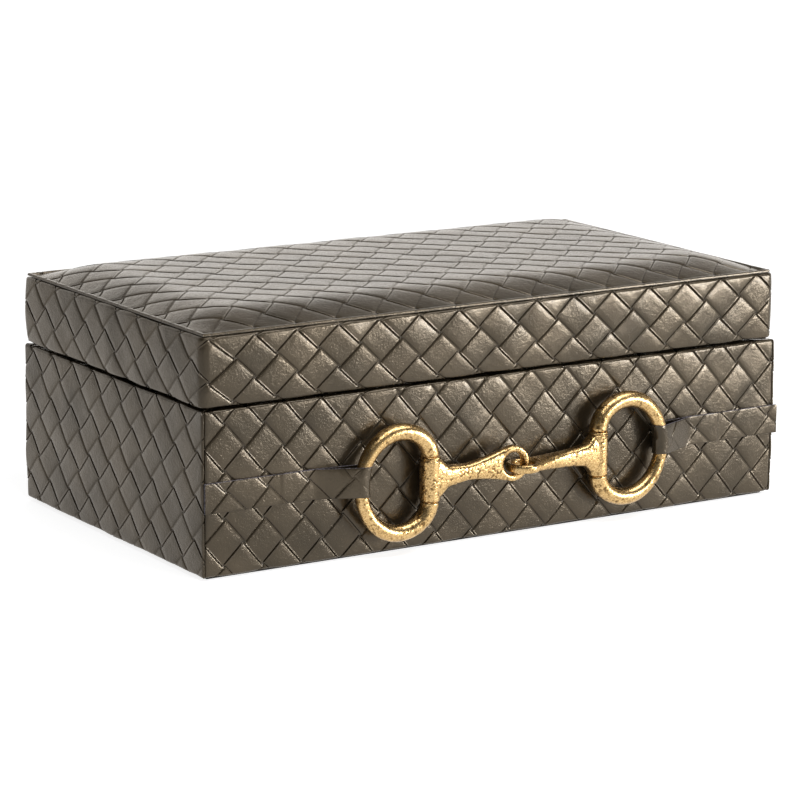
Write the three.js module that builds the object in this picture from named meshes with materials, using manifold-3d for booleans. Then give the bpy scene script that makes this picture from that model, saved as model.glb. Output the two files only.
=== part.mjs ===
// A leather-covered box for papers and keepsakes, with a padded lid on two stop hinges
// and a cast horse bit held across its front by two leather straps.
// Lengths are in millimetres. The origin is the centre of the felt's underside,
// +X runs along the front to the right, -Y is the front and +Z is up.
import * as THREE from 'three';
import { mergeVertices } from 'three/addons/utils/BufferGeometryUtils.js';
import Module from 'manifold-3d';

const wasm = await Module();
wasm.setup();

// The box as a whole
const baseLength = 300;
const baseDepth = 166;
const rimHeight = 72.9;
const lidShortfall = 1.6;
const closingGap = 0.8;
const lidWallTop = 104;
const lidCornerRadius = 3.5;

// Boards, leather, suede, felt and glue
const wallBoard = 8;
const floorBoard = 6;
const topBoard = 6;
const leather = 1.2;
const turnIn = 8;
const turnOver = 12;
const edgeRadius = 0.9;
const foldRadius = 0.4;
const wallSuede = 1.1;
const floorSuede = 1.5;
const felt = 1;
const feltInset = 3.5;
const glueLine = 0.1;

// The padded top
const padInset = 1.6;
const padCrown = 5.4;
const padShoulder = 27.6;
const padShoulderPower = 1.2;
const foamInset = 6;
const padShoulderSteps = 7;
const padMiddleSteps = 3;

// The two hinges
const hingeInset = 55;
const leafLength = 28;
const leafReach = 8.6;
const leafThickness = 0.9;
const leafGap = 0.1;
const leafFit = 0.3;
const knuckleRadius = 1.9;
const knuckleStandOff = 0.3;
const knuckleGap = 0.3;
const knuckleCount = 5;
const pinRadius = 0.8;
const pinFit = 0.3;
const pinHeadRadius = 1.5;
const pinHead = 0.5;
const stopReach = 2.2;
const lidOpening = 95;

// The hinge screws
const screwSpacing = 18;
const screwEdge = 3.8;
const screwLength = 7;
const screwRadius = 0.75;
const screwHeadRadius = 1.5;
const screwHead = 0.7;
const screwTip = 1.2;
const screwFit = 0.2;
const screwSlot = 0.4;
const screwSlotDepth = 0.3;

// The horse bit: two rings, two linked arms
const bitCentreX = 2;
const bitHeight = 33.3;
const bitStandOff = 6.8;
const ringOuterSpan = 79;
const ringTopSpan = 59.8;
const barrelSpan = 44.2;
const ringHalfHeight = 22.9;
const ringShoulder = 13;
const wireAtStrap = 2.75;
const wireAtTop = 3.6;
const wireInBarrel = 3;
const barrelBoreFit = 0.35;
const barrelRadius = 4.5;
const barrelBead = 0.5;
const barrelBeadLength = 1.6;
const barrelLength = 21.6;
const eyeSpan = 3;
const eyeRadius = 8;
const eyeHole = 5;
const leftEyeHalf = 2.3;
const rightEyeHalf = 1.9;
const leftEyeRise = 1.6;
const rightEyeRise = -0.6;
const armSwing = 2.8;
const rootHalfHeight = 9.4;
const shoulderHalfHeight = 5.2;
const waistHalfHeight = 3.6;
const rootHalfDepth = 3.9;
const waistHalfDepth = 3.1;
const rootFadeStart = 2.5;
const rootFadeEnd = 8.4;
const shoulderFadeEnd = 20;
const eyeFadeStart = 21;
const eyeFadeMargin = 2.5;

// The two straps
const strapWidth = 13;
const strapHeight = 35.7;
const strapThickness = 1.5;
const strapLeftShortfall = 0.5;
const strapRightOverhang = 0.8;
const strapRise = 20;
const strapSplit = 4;
const strapFit = 0.4;

// Fineness of the round shapes, and how far cutters run past what they cut
const cornerSteps = 4;
const edgeSteps = 2;
const wireSides = 10;
const ringSideSteps = 12;
const ringShoulderSteps = 6;
const barrelSides = 18;
const eyeSides = 22;
const eyeSectionSteps = 8;
const armSteps = 14;
const armSides = 14;
const armSectionPower = 2.5;
const loopSteps = 14;
const smallSides = 12;
const overrun = 2;

// Places that several pieces share
const halfLength = baseLength / 2;
const halfDepth = baseDepth / 2;
const lidHalfLength = (baseLength - lidShortfall) / 2;
const lidOffsetX = -lidShortfall / 2;
const lidRim = rimHeight + closingGap;
const coverFoot = felt + glueLine;
const boardFace = leather + glueLine;
const boardBack = boardFace + wallBoard;
const liningFace = boardBack + glueLine;
const wallWidth = liningFace + leather;
const hingeX = halfLength - hingeInset;
const hingeY = halfDepth + knuckleStandOff + knuckleRadius;
const hingeZ = rimHeight + closingGap / 2;
const ringPivotX = ringOuterSpan - strapSag();
const bitY = -halfDepth - bitStandOff;

// Materials
function finish(colour, roughness, metalness) {
  return () => new THREE.MeshStandardMaterial({ color: colour, roughness, metalness });
}
const wovenLeather = finish(0x7d7467, 0.42, 0.25);
const plainBoard = finish(0xa88a64, 0.85, 0);
const suedeLining = finish(0x5b5048, 0.95, 0);
const baseFelt = finish(0x2c2926, 1, 0);
const padFoam = finish(0xe4dcc8, 0.95, 0);
const hingeBrass = finish(0xb8923f, 0.35, 1);
const castBrass = finish(0xcaa150, 0.38, 1);

const part = new THREE.Group();

function place(name, geometry, material) {
  const mesh = new THREE.Mesh(geometry, material());
  mesh.name = name;
  part.add(mesh);
  return mesh;
}

// A closed body from points and triangles, turned so that its faces point out
function body(points, triangles) {
  let volume = 0;
  for (const [a, b, c] of triangles) {
    const cross = new THREE.Vector3().crossVectors(points[b], points[c]);
    volume += points[a].dot(cross);
  }
  const index = triangles.flatMap(([a, b, c]) => (volume < 0 ? [a, c, b] : [a, b, c]));
  const geometry = new THREE.BufferGeometry();
  const positions = points.flatMap((point) => point.toArray());
  geometry.setAttribute('position', new THREE.Float32BufferAttribute(positions, 3));
  geometry.setIndex(index);
  return geometry;
}

// A block between two corners
function block(xs, ys, zs) {
  const geometry = new THREE.BoxGeometry(1, 1, 1);
  const position = geometry.getAttribute('position');
  for (let i = 0; i < position.count; i += 1) {
    const x = position.getX(i) < 0 ? xs[0] : xs[1];
    const y = position.getY(i) < 0 ? ys[0] : ys[1];
    const z = position.getZ(i) < 0 ? zs[0] : zs[1];
    position.setXYZ(i, x, y, z);
  }
  return geometry;
}

// Solids for joining and cutting, and back to a geometry
function solid(geometry) {
  const bare = geometry.clone();
  bare.deleteAttribute('normal');
  bare.deleteAttribute('uv');
  const merged = mergeVertices(bare);
  const vertProperties = new Float32Array(merged.getAttribute('position').array);
  const triVerts = new Uint32Array(merged.getIndex().array);
  return new wasm.Manifold(new wasm.Mesh({ numProp: 3, vertProperties, triVerts }));
}

function toGeometry(manifold) {
  const mesh = manifold.getMesh();
  const geometry = new THREE.BufferGeometry();
  geometry.setAttribute('position', new THREE.BufferAttribute(mesh.vertProperties, 3));
  geometry.setIndex(new THREE.BufferAttribute(mesh.triVerts, 1));
  return geometry;
}

function joined(geometries) {
  return geometries.slice(1).reduce((sum, next) => sum.add(solid(next)), solid(geometries[0]));
}

function cutAway(geometry, cutters) {
  const rest = cutters.reduce((left, cutter) => left.subtract(solid(cutter)), solid(geometry));
  return toGeometry(rest);
}

// Upright and lengthwise round bars
function barZ(radius, z0, z1, x, y, sides = smallSides) {
  const geometry = new THREE.CylinderGeometry(radius, radius, z1 - z0, sides);
  geometry.rotateX(Math.PI / 2);
  geometry.translate(x, y, (z0 + z1) / 2);
  return geometry;
}

function barX(radius, x0, x1, y, z, sides = smallSides) {
  const geometry = new THREE.CylinderGeometry(radius, radius, x1 - x0, sides);
  geometry.rotateZ(Math.PI / 2);
  geometry.translate((x0 + x1) / 2, y, z);
  return geometry;
}

// A solid skinned over sections with equal numbers of points.
// A closed run meets its own start, and an open run gets flat ends.
function skin(sections, outline, closed) {
  const count = outline.length;
  const points = sections.flat();
  const triangles = [];
  const spans = closed ? sections.length : sections.length - 1;
  for (let s = 0; s < spans; s += 1) {
    const here = s * count;
    const next = ((s + 1) % sections.length) * count;
    for (let i = 0; i < count; i += 1) {
      const j = (i + 1) % count;
      triangles.push([here + i, here + j, next + j], [here + i, next + j, next + i]);
    }
  }
  if (!closed) {
    const last = (sections.length - 1) * count;
    for (const [a, b, c] of THREE.ShapeUtils.triangulateShape(outline, [])) {
      triangles.push(endTriangle(outline, a, b, c, 0, false));
      triangles.push(endTriangle(outline, a, b, c, last, true));
    }
  }
  return body(points, triangles);
}

// One triangle of a flat end, wound with or against the outline
function endTriangle(outline, a, b, c, offset, far) {
  const turning = THREE.ShapeUtils.area([outline[a], outline[b], outline[c]]) > 0;
  const along = THREE.ShapeUtils.area(outline) > 0;
  const flip = (turning === along) === far;
  return flip ? [offset + a, offset + b, offset + c] : [offset + a, offset + c, offset + b];
}

function arcPoints(cx, cy, radius, from, to, steps) {
  return Array.from({ length: steps + 1 }, (_, i) => {
    const angle = from + ((to - from) * i) / steps;
    return new THREE.Vector2(cx + radius * Math.cos(angle), cy + radius * Math.sin(angle));
  });
}

// The leather's section: up the wall, over the rim and down inside it, and folded flat at the far edge.
// The first coordinate runs inward from the outer face and the second is the height.
function coverSection(rimZ, farZ) {
  const up = Math.sign(rimZ - farZ);
  const r = edgeRadius;
  const quarter = Math.PI / 2;
  const corner = (u, z, from, to) => arcPoints(u, 0, r, from, to, edgeSteps)
    .map((p) => new THREE.Vector2(p.x, z + up * p.y));
  return [
    ...corner(r, farZ + up * r, -quarter, -2 * quarter),
    ...corner(r, rimZ - up * r, 2 * quarter, quarter),
    ...corner(wallWidth - r, rimZ - up * r, quarter, 0),
    new THREE.Vector2(wallWidth, rimZ - up * turnIn),
    new THREE.Vector2(liningFace, rimZ - up * turnIn),
    new THREE.Vector2(liningFace, rimZ - up * leather),
    new THREE.Vector2(leather, rimZ - up * leather),
    new THREE.Vector2(leather, farZ + up * leather),
    new THREE.Vector2(turnOver, farZ + up * leather),
    new THREE.Vector2(turnOver, farZ),
  ];
}

// A cover for one side of the base, mitred at both ends like a picture frame
function mitredCover(halfSpan, faceDistance) {
  const outline = coverSection(rimHeight, coverFoot);
  const end = (side) => outline.map((p) => {
    const along = side * (halfSpan - p.x - glueLine / 2);
    return new THREE.Vector3(along, p.x - faceDistance, p.y);
  });
  return skin([end(-1), end(1)], outline, false);
}

// A cover that runs round all four sides in one piece, with rounded upright corners
function wrappedCover() {
  const outline = coverSection(lidRim, lidWallTop);
  const corners = [[1, 1], [-1, 1], [-1, -1], [1, -1]];
  const sections = [];
  for (const [quarters, [sx, sy]] of corners.entries()) {
    for (let i = 0; i <= cornerSteps; i += 1) {
      const angle = (quarters + i / cornerSteps) * (Math.PI / 2);
      sections.push(outline.map((p) => {
        const radius = Math.max(lidCornerRadius - p.x, foldRadius);
        const x = sx * (lidHalfLength - p.x - radius) + radius * Math.cos(angle);
        const y = sy * (halfDepth - p.x - radius) + radius * Math.sin(angle);
        return new THREE.Vector3(x + lidOffsetX, y, p.y);
      }));
    }
  }
  return skin(sections, outline, true);
}

// A long lid board, its outer corners rounded under the leather; side is -1 at the front, 1 at the rear
function lidLongBoard(side, zs) {
  const radius = lidCornerRadius - boardFace;
  const halfX = lidHalfLength - boardFace;
  const outerY = halfDepth - boardFace;
  const innerY = halfDepth - boardBack;
  const points = [
    new THREE.Vector2(halfX, innerY),
    ...arcPoints(halfX - radius, outerY - radius, radius, 0, Math.PI / 2, cornerSteps),
    ...arcPoints(radius - halfX, outerY - radius, radius, Math.PI / 2, Math.PI, cornerSteps),
    new THREE.Vector2(-halfX, innerY),
  ];
  const shape = new THREE.Shape(points.map((p) => new THREE.Vector2(p.x + lidOffsetX, p.y)));
  const geometry = new THREE.ExtrudeGeometry(shape, { depth: zs[1] - zs[0], bevelEnabled: false });
  geometry.translate(0, 0, zs[0]);
  if (side < 0) {
    geometry.rotateZ(Math.PI);
    geometry.translate(2 * lidOffsetX, 0, 0);
  }
  return geometry;
}

// Base

function addBaseBoards() {
  const low = coverFoot + boardFace;
  const walls = [low, rimHeight - boardFace];
  const outerX = halfLength - boardFace;
  const innerX = halfLength - boardBack;
  const outerY = halfDepth - boardFace;
  const innerY = halfDepth - boardBack;
  const sideY = innerY - glueLine;
  const floorX = innerX - glueLine;
  place('base_front_board', block([-outerX, outerX], [-outerY, -innerY], walls), plainBoard);
  const rear = block([-outerX, outerX], [innerY, outerY], walls);
  place('base_rear_board', cutAway(rear, screwHoles(-1)), plainBoard);
  place('base_left_board', block([-outerX, -innerX], [-sideY, sideY], walls), plainBoard);
  place('base_right_board', block([innerX, outerX], [-sideY, sideY], walls), plainBoard);
  const floor = block([-floorX, floorX], [-sideY, sideY], [low, low + floorBoard]);
  place('base_floor_board', floor, plainBoard);
}

function addBaseCovers() {
  place('base_front_cover', mitredCover(halfLength, halfDepth), wovenLeather);
  const rear = mitredCover(halfLength, halfDepth);
  rear.rotateZ(Math.PI);
  const cuts = [...screwHoles(-1), ...leafRecesses(-1)];
  place('base_rear_cover', cutAway(rear, cuts), wovenLeather);
  for (const [side, turn] of [['left', -1], ['right', 1]]) {
    const cover = mitredCover(halfDepth, halfLength);
    cover.rotateZ(turn * (Math.PI / 2));
    place(`base_${side}_cover`, cover, wovenLeather);
  }
}

// Four lining panels round a hollow, from the corner of the boards inward
function addWallLinings(prefix, halfX, halfY, zs, centreX) {
  const outerX = halfX - liningFace;
  const outerY = halfY - liningFace;
  const innerX = outerX - wallSuede;
  const innerY = outerY - wallSuede;
  const sideY = innerY - glueLine;
  const longX = [centreX - outerX, centreX + outerX];
  const leftX = [centreX - outerX, centreX - innerX];
  const rightX = [centreX + innerX, centreX + outerX];
  place(`${prefix}_front_lining`, block(longX, [-outerY, -innerY], zs), suedeLining);
  place(`${prefix}_rear_lining`, block(longX, [innerY, outerY], zs), suedeLining);
  place(`${prefix}_left_lining`, block(leftX, [-sideY, sideY], zs), suedeLining);
  place(`${prefix}_right_lining`, block(rightX, [-sideY, sideY], zs), suedeLining);
}

function addBaseLinings() {
  const floorTop = coverFoot + boardFace + floorBoard;
  const low = floorTop + glueLine;
  const high = low + floorSuede;
  const x = halfLength - liningFace;
  const y = halfDepth - liningFace;
  place('base_floor_lining', block([-x, x], [-y, y], [low, high]), suedeLining);
  const walls = [high + glueLine, rimHeight - turnIn - glueLine];
  addWallLinings('base', halfLength, halfDepth, walls, 0);
}

function addFelt() {
  const x = halfLength - feltInset;
  const y = halfDepth - feltInset;
  place('base_felt', block([-x, x], [-y, y], [0, felt]), baseFelt);
}

// Lid

function addLidBoards() {
  const high = lidWallTop - boardFace;
  const walls = [lidRim + boardFace, high];
  const outerX = lidHalfLength - boardFace;
  const innerX = lidHalfLength - boardBack;
  const sideY = halfDepth - boardBack - glueLine;
  const topX = innerX - glueLine;
  const at = (x0, x1) => [lidOffsetX + x0, lidOffsetX + x1];
  place('lid_front_board', lidLongBoard(-1, walls), plainBoard);
  place('lid_rear_board', cutAway(lidLongBoard(1, walls), screwHoles(1)), plainBoard);
  place('lid_left_board', block(at(-outerX, -innerX), [-sideY, sideY], walls), plainBoard);
  place('lid_right_board', block(at(innerX, outerX), [-sideY, sideY], walls), plainBoard);
  const top = block(at(-topX, topX), [-sideY, sideY], [high - topBoard, high]);
  place('lid_top_board', top, plainBoard);
}

function addLidCover() {
  const cuts = [...screwHoles(1), ...leafRecesses(1)];
  place('lid_wall_cover', cutAway(wrappedCover(), cuts), wovenLeather);
}

function addLidLinings() {
  const high = lidWallTop - boardFace - topBoard - glueLine;
  const low = high - wallSuede;
  const x = lidHalfLength - liningFace;
  const y = halfDepth - liningFace;
  const across = [lidOffsetX - x, lidOffsetX + x];
  place('lid_top_lining', block(across, [-y, y], [low, high]), suedeLining);
  const walls = [lidRim + turnIn + glueLine, low - glueLine];
  addWallLinings('lid', lidHalfLength, halfDepth, walls, lidOffsetX);
}

// How far the padded top has risen at a distance from its edge, from 0 to 1
function shoulder(distance) {
  const share = Math.min(Math.max(distance / padShoulder, 0), 1);
  return (1 - (1 - share) ** 2) ** padShoulderPower;
}

function padHeight(x, y) {
  const fromEndX = lidHalfLength - padInset - Math.abs(x);
  const fromEndY = halfDepth - padInset - Math.abs(y);
  return lidWallTop + glueLine + leather + padCrown * shoulder(fromEndX) * shoulder(fromEndY);
}

// Stations across the pad: close together on its shoulders, far apart on its flat middle
function padStations(half) {
  const inner = half - padShoulder;
  const rise = Array.from({ length: padShoulderSteps + 1 }, (_, i) => {
    const share = i / padShoulderSteps;
    return half - padShoulder * share * (1 + share) / 2;
  });
  const middle = Array.from({ length: padMiddleSteps - 1 }, (_, i) => {
    return inner - (2 * inner * (i + 1)) / padMiddleSteps;
  });
  const fall = rise.map((x) => -x).reverse();
  return [...rise, ...middle, ...fall].reverse();
}

// A solid between two heights over a rectangle of stations
function heightBody(xs, ys, upper, lower) {
  const columns = ys.length;
  const layer = xs.length * columns;
  const surface = (height) => xs.flatMap((x) => {
    return ys.map((y) => new THREE.Vector3(x + lidOffsetX, y, height(x, y)));
  });
  const points = [...surface(upper), ...surface(lower)];
  const triangles = [];
  const quad = (a, b, c, d) => triangles.push([a, b, c], [a, c, d]);
  for (let i = 0; i < xs.length - 1; i += 1) {
    for (let j = 0; j < columns - 1; j += 1) {
      const a = i * columns + j;
      quad(a, a + columns, a + columns + 1, a + 1);
      quad(layer + a, layer + a + 1, layer + a + columns + 1, layer + a + columns);
    }
  }
  const wall = (a, b) => quad(a, b, b + layer, a + layer);
  for (let i = 0; i < xs.length - 1; i += 1) {
    const a = i * columns;
    wall(a + columns, a);
    wall(a + columns - 1, a + 2 * columns - 1);
  }
  for (let j = 0; j < columns - 1; j += 1) {
    wall(j, j + 1);
    wall(layer - columns + j + 1, layer - columns + j);
  }
  return body(points, triangles);
}

function addPad() {
  const coverX = lidHalfLength - padInset;
  const coverY = halfDepth - padInset;
  const under = (x, y) => padHeight(x, y) - leather;
  const cover = heightBody(padStations(coverX), padStations(coverY), padHeight, under);
  place('lid_top_cover', cover, wovenLeather);
  const foamX = padStations(coverX - foamInset);
  const foamY = padStations(coverY - foamInset);
  const foamTop = (x, y) => under(x, y) - glueLine;
  const seat = () => lidWallTop + glueLine;
  place('lid_pad', heightBody(foamX, foamY, foamTop, seat), padFoam);
}

// Hinges

const hingeSides = [['left', -1], ['right', 1]];

function screwPlaces(middleX) {
  return [-1, 1].map((end) => middleX + (end * screwSpacing) / 2);
}

// Holes through leather and board; side is -1 in the base and 1 in the lid
function screwHoles(side) {
  const radius = screwRadius + screwFit;
  const y = halfDepth - screwEdge;
  const zs = [hingeZ, hingeZ + side * (screwLength + overrun)].sort((a, b) => a - b);
  return hingeSides.flatMap(([, sign]) => {
    return screwPlaces(sign * hingeX).map((x) => barZ(radius, zs[0], zs[1], x, y));
  });
}

// The heights of a leaf's two faces; the one nearest the joint comes first
function leafFaces(side) {
  const near = hingeZ + (side * leafGap) / 2;
  return [near, near + side * leafThickness];
}

// The shallow seat of each leaf in the rim's leather
function leafRecesses(side) {
  const deep = leafFaces(side)[1] + side * leafFit;
  const zs = [deep, hingeZ - side * overrun].sort((a, b) => a - b);
  const ys = [halfDepth - leafReach - leafFit, halfDepth + overrun];
  return hingeSides.map(([, sign]) => {
    const x = sign * hingeX;
    const half = leafLength / 2 + leafFit;
    return block([x - half, x + half], ys, zs);
  });
}

// The stretches of the knuckle row that belong to one leaf
function knuckles(side, middleX) {
  const pitch = leafLength / knuckleCount;
  const first = side < 0 ? 0 : 1;
  const runs = [];
  for (let i = first; i < knuckleCount; i += 2) {
    const start = middleX - leafLength / 2 + i * pitch;
    runs.push([start + knuckleGap / 2, start + pitch - knuckleGap / 2]);
  }
  return runs;
}

// The strip behind the knuckles that meets its partner when the lid is fully open
function stopStrip(side, middleX) {
  const clear = knuckleRadius + knuckleGap;
  const faces = leafFaces(side).sort((a, b) => a - b);
  const span = [middleX - leafLength / 2, middleX + leafLength / 2];
  const strips = [block(span, [hingeY + clear, hingeY + clear + stopReach], faces)];
  for (const run of knuckles(side, middleX)) {
    strips.push(block(run, [hingeY + pinRadius + pinFit, hingeY + clear + pinFit], faces));
  }
  return strips.map((strip) => {
    if (side > 0) {
      strip.translate(0, -hingeY, -hingeZ);
      strip.rotateX(THREE.MathUtils.degToRad(lidOpening));
      strip.translate(0, hingeY, hingeZ);
    }
    return strip;
  });
}

function leaf(side, middleX) {
  const faces = leafFaces(side).sort((a, b) => a - b);
  const edge = hingeY - knuckleRadius - knuckleGap;
  const span = [middleX - leafLength / 2, middleX + leafLength / 2];
  const pieces = [block(span, [halfDepth - leafReach, edge], faces)];
  for (const run of knuckles(side, middleX)) {
    pieces.push(block(run, [edge - leafThickness, hingeY], faces));
    pieces.push(barX(knuckleRadius, run[0], run[1], hingeY, hingeZ));
  }
  pieces.push(...stopStrip(side, middleX));
  const bore = barX(pinRadius + pinFit, span[0] - overrun, span[1] + overrun, hingeY, hingeZ);
  const holes = screwPlaces(middleX).map((x) => screwShape(side, x, screwFit, overrun));
  return holes.reduce((rest, hole) => rest.subtract(solid(hole)), joined(pieces).subtract(solid(bore)));
}

// A countersunk screw along Z, or the hole for it when fit and extra are given
function screwShape(side, x, fit, extra) {
  const head = screwHeadRadius + fit;
  const shank = screwRadius + fit;
  const start = leafFaces(side)[0];
  const outline = [
    new THREE.Vector2(0, -extra),
    new THREE.Vector2(head, -extra),
    new THREE.Vector2(head, 0),
    new THREE.Vector2(shank, screwHead),
    new THREE.Vector2(shank, screwLength - screwTip),
    new THREE.Vector2(0, screwLength),
  ];
  const depths = extra > 0 ? outline : outline.filter((p, i) => i !== 1);
  const geometry = new THREE.LatheGeometry(depths, smallSides);
  geometry.rotateX((side * Math.PI) / 2);
  geometry.translate(x, halfDepth - screwEdge, start);
  return geometry;
}

function slottedScrew(side, x) {
  const start = leafFaces(side)[0];
  const zs = [start - side * overrun, start + side * screwSlotDepth].sort((a, b) => a - b);
  const y = halfDepth - screwEdge;
  const reach = screwHeadRadius + overrun;
  const slot = block([x - reach, x + reach], [y - screwSlot / 2, y + screwSlot / 2], zs);
  return cutAway(screwShape(side, x, 0, 0), [slot]);
}

function hingePin(middleX) {
  const ends = [middleX - leafLength / 2, middleX + leafLength / 2];
  const rod = barX(pinRadius, ends[0] - knuckleGap, ends[1] + knuckleGap, hingeY, hingeZ);
  const heads = [-1, 1].map((side, i) => {
    const inner = ends[i] + (side * knuckleGap) / 2;
    const outer = ends[i] + side * (knuckleGap + pinHead);
    return barX(pinHeadRadius, Math.min(inner, outer), Math.max(inner, outer), hingeY, hingeZ);
  });
  return toGeometry(joined([rod, ...heads]));
}

function addHinges() {
  for (const [name, sign] of hingeSides) {
    const x = sign * hingeX;
    place(`${name}_hinge_base_leaf`, toGeometry(leaf(-1, x)), hingeBrass);
    place(`${name}_hinge_lid_leaf`, toGeometry(leaf(1, x)), hingeBrass);
    place(`${name}_hinge_pin`, hingePin(x), hingeBrass);
    for (const [owner, side] of [['base', -1], ['lid', 1]]) {
      screwPlaces(x).forEach((screwX, i) => {
        place(`${name}_hinge_${owner}_screw_${i + 1}`, slottedScrew(side, screwX), hingeBrass);
      });
    }
  }
}

// Horse bit

// How far the ring's curved outer side draws in over the strap's width, as a middle value
function strapSag() {
  return (ringSag(strapHeight + strapWidth / 2) + ringSag(bitHeight)) / 2;
}

function ringSag(z) {
  const share = (z - bitHeight) / ringHalfHeight;
  return (ringOuterSpan - ringTopSpan) * (1 - Math.sqrt(1 - share ** 2));
}

// The ring's centre line in its own plane: a half ellipse outside, a straight side inside.
// Its zero is midway up the ring, under its highest point; the outer side is at -X.
function ringLine() {
  const outer = ringOuterSpan - ringTopSpan;
  const inner = ringTopSpan - barrelSpan;
  const straight = ringHalfHeight - ringShoulder;
  const half = Math.PI / 2;
  const line = [];
  for (let i = 0; i <= ringSideSteps; i += 1) {
    const angle = half + (Math.PI * i) / ringSideSteps;
    line.push(new THREE.Vector2(outer * Math.cos(angle), ringHalfHeight * Math.sin(angle)));
  }
  for (let i = 1; i <= ringShoulderSteps; i += 1) {
    const angle = -half + (half * i) / ringShoulderSteps;
    line.push(new THREE.Vector2(inner * Math.cos(angle), ringShoulder * Math.sin(angle) - straight));
  }
  for (let i = 0; i < ringShoulderSteps; i += 1) {
    const angle = (half * i) / ringShoulderSteps;
    line.push(new THREE.Vector2(inner * Math.cos(angle), ringShoulder * Math.sin(angle) + straight));
  }
  return line;
}

// The wire is thickest at the top and bottom and slimmer at the strap and in the barrel.
// Height is measured from the middle of the ring.
function wireRadius(outerSide, height) {
  const slim = outerSide ? wireAtStrap : wireInBarrel;
  const start = outerSide ? 0 : ringHalfHeight - ringShoulder;
  const share = Math.max(Math.abs(height) - start, 0) / (ringHalfHeight - start);
  return slim + (wireAtTop - slim) * share ** 2;
}

function ring() {
  const line = ringLine();
  const circle = arcPoints(0, 0, 1, 0, (2 * Math.PI * (wireSides - 1)) / wireSides, wireSides - 1);
  const sections = line.map((point, i) => {
    const before = line[(i + line.length - 1) % line.length];
    const after = line[(i + 1) % line.length];
    const run = after.clone().sub(before).normalize();
    const radius = wireRadius(point.x < 0, point.y);
    return circle.map((c) => {
      const out = radius * c.x;
      return new THREE.Vector3(point.x + run.y * out, radius * c.y, point.y - run.x * out);
    });
  });
  return skin(sections, circle, true);
}

function easeDown(x, start, end) {
  return 1 - THREE.MathUtils.smoothstep(x, start, end);
}

// The body of an arm, from the middle of its barrel along +X to the middle of its eye
function armBody(eyeHalfHeight, eyeHalfDepth, eyeRise) {
  const length = barrelSpan - eyeSpan;
  const outline = arcPoints(0, 0, 1, 0, (2 * Math.PI * (armSides - 1)) / armSides, armSides - 1);
  const power = 2 / armSectionPower;
  const bulge = (value) => Math.sign(value) * Math.abs(value) ** power;
  const sections = [];
  for (let i = 0; i <= armSteps; i += 1) {
    const share = i / armSteps;
    const x = length * share * (1 + share) / 2;
    const toEye = THREE.MathUtils.smoothstep(x, eyeFadeStart, length - eyeFadeMargin);
    const neck = waistHalfHeight
      + (shoulderHalfHeight - waistHalfHeight) * easeDown(x, rootFadeStart, shoulderFadeEnd)
      + (rootHalfHeight - shoulderHalfHeight) * easeDown(x, rootFadeStart, rootFadeEnd);
    const waist = waistHalfDepth + (rootHalfDepth - waistHalfDepth) * easeDown(x, 0, shoulderFadeEnd);
    const halfHeight = neck + (eyeHalfHeight - neck) * toEye;
    const halfDepthHere = waist + (eyeHalfDepth - waist) * toEye;
    const z = eyeRise * THREE.MathUtils.smoothstep(x, 0, length);
    sections.push(outline.map((p) => {
      return new THREE.Vector3(x, halfDepthHere * bulge(p.x), z + halfHeight * bulge(p.y));
    }));
  }
  return skin(sections, outline, false);
}

// A flat ring with rounded edges round the Y axis, from its hole to its rim
function eyeRing(halfThickness) {
  const middle = (eyeRadius + eyeHole) / 2;
  const halfWidth = (eyeRadius - eyeHole) / 2;
  const section = Array.from({ length: eyeSectionSteps + 1 }, (_, i) => {
    const angle = (2 * Math.PI * i) / eyeSectionSteps;
    const bulge = (value) => Math.sign(value) * Math.sqrt(Math.abs(value));
    const out = middle + halfWidth * bulge(Math.cos(angle));
    return new THREE.Vector2(out, halfThickness * bulge(Math.sin(angle)));
  });
  return new THREE.LatheGeometry(section, eyeSides);
}

// The sleeve that turns on the ring's straight side, with a bead at each end
function barrel() {
  const bore = wireInBarrel + barrelBoreFit;
  const end = barrelLength / 2;
  const beadStart = end - barrelBeadLength;
  const section = [
    new THREE.Vector2(bore, -end),
    new THREE.Vector2(barrelRadius, -end),
    new THREE.Vector2(barrelRadius + barrelBead, -(end + beadStart) / 2),
    new THREE.Vector2(barrelRadius, -beadStart),
    new THREE.Vector2(barrelRadius, beadStart),
    new THREE.Vector2(barrelRadius + barrelBead, (end + beadStart) / 2),
    new THREE.Vector2(barrelRadius, end),
    new THREE.Vector2(bore, end),
    new THREE.Vector2(bore, -end),
  ];
  const geometry = new THREE.LatheGeometry(section, barrelSides);
  geometry.rotateX(Math.PI / 2);
  return geometry;
}

// An arm with its barrel and eye; an upright eye faces the front, a level one faces up
function arm(upright, eyeHalf, eyeRise) {
  const length = barrelSpan - eyeSpan;
  const spread = (eyeRadius + eyeHole) / 2;
  const height = upright ? spread : eyeHalf;
  const depth = upright ? eyeHalf : spread;
  const boreCut = (wireInBarrel + barrelBoreFit + barrelRadius) / 2;
  const eye = eyeRing(eyeHalf);
  const eyeCut = new THREE.CylinderGeometry(spread, spread, 2 * (eyeRadius + overrun), eyeSides);
  if (!upright) {
    eye.rotateX(Math.PI / 2);
    eyeCut.rotateX(Math.PI / 2);
  }
  eye.translate(length, 0, eyeRise);
  eyeCut.translate(length, 0, eyeRise);
  const reach = barrelLength / 2 + overrun;
  const core = solid(armBody(height, depth, eyeRise))
    .subtract(solid(barZ(boreCut, -reach, reach, 0, 0, barrelSides)))
    .subtract(solid(eyeCut));
  return toGeometry(core.add(solid(barrel())).add(solid(eye)));
}

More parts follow.
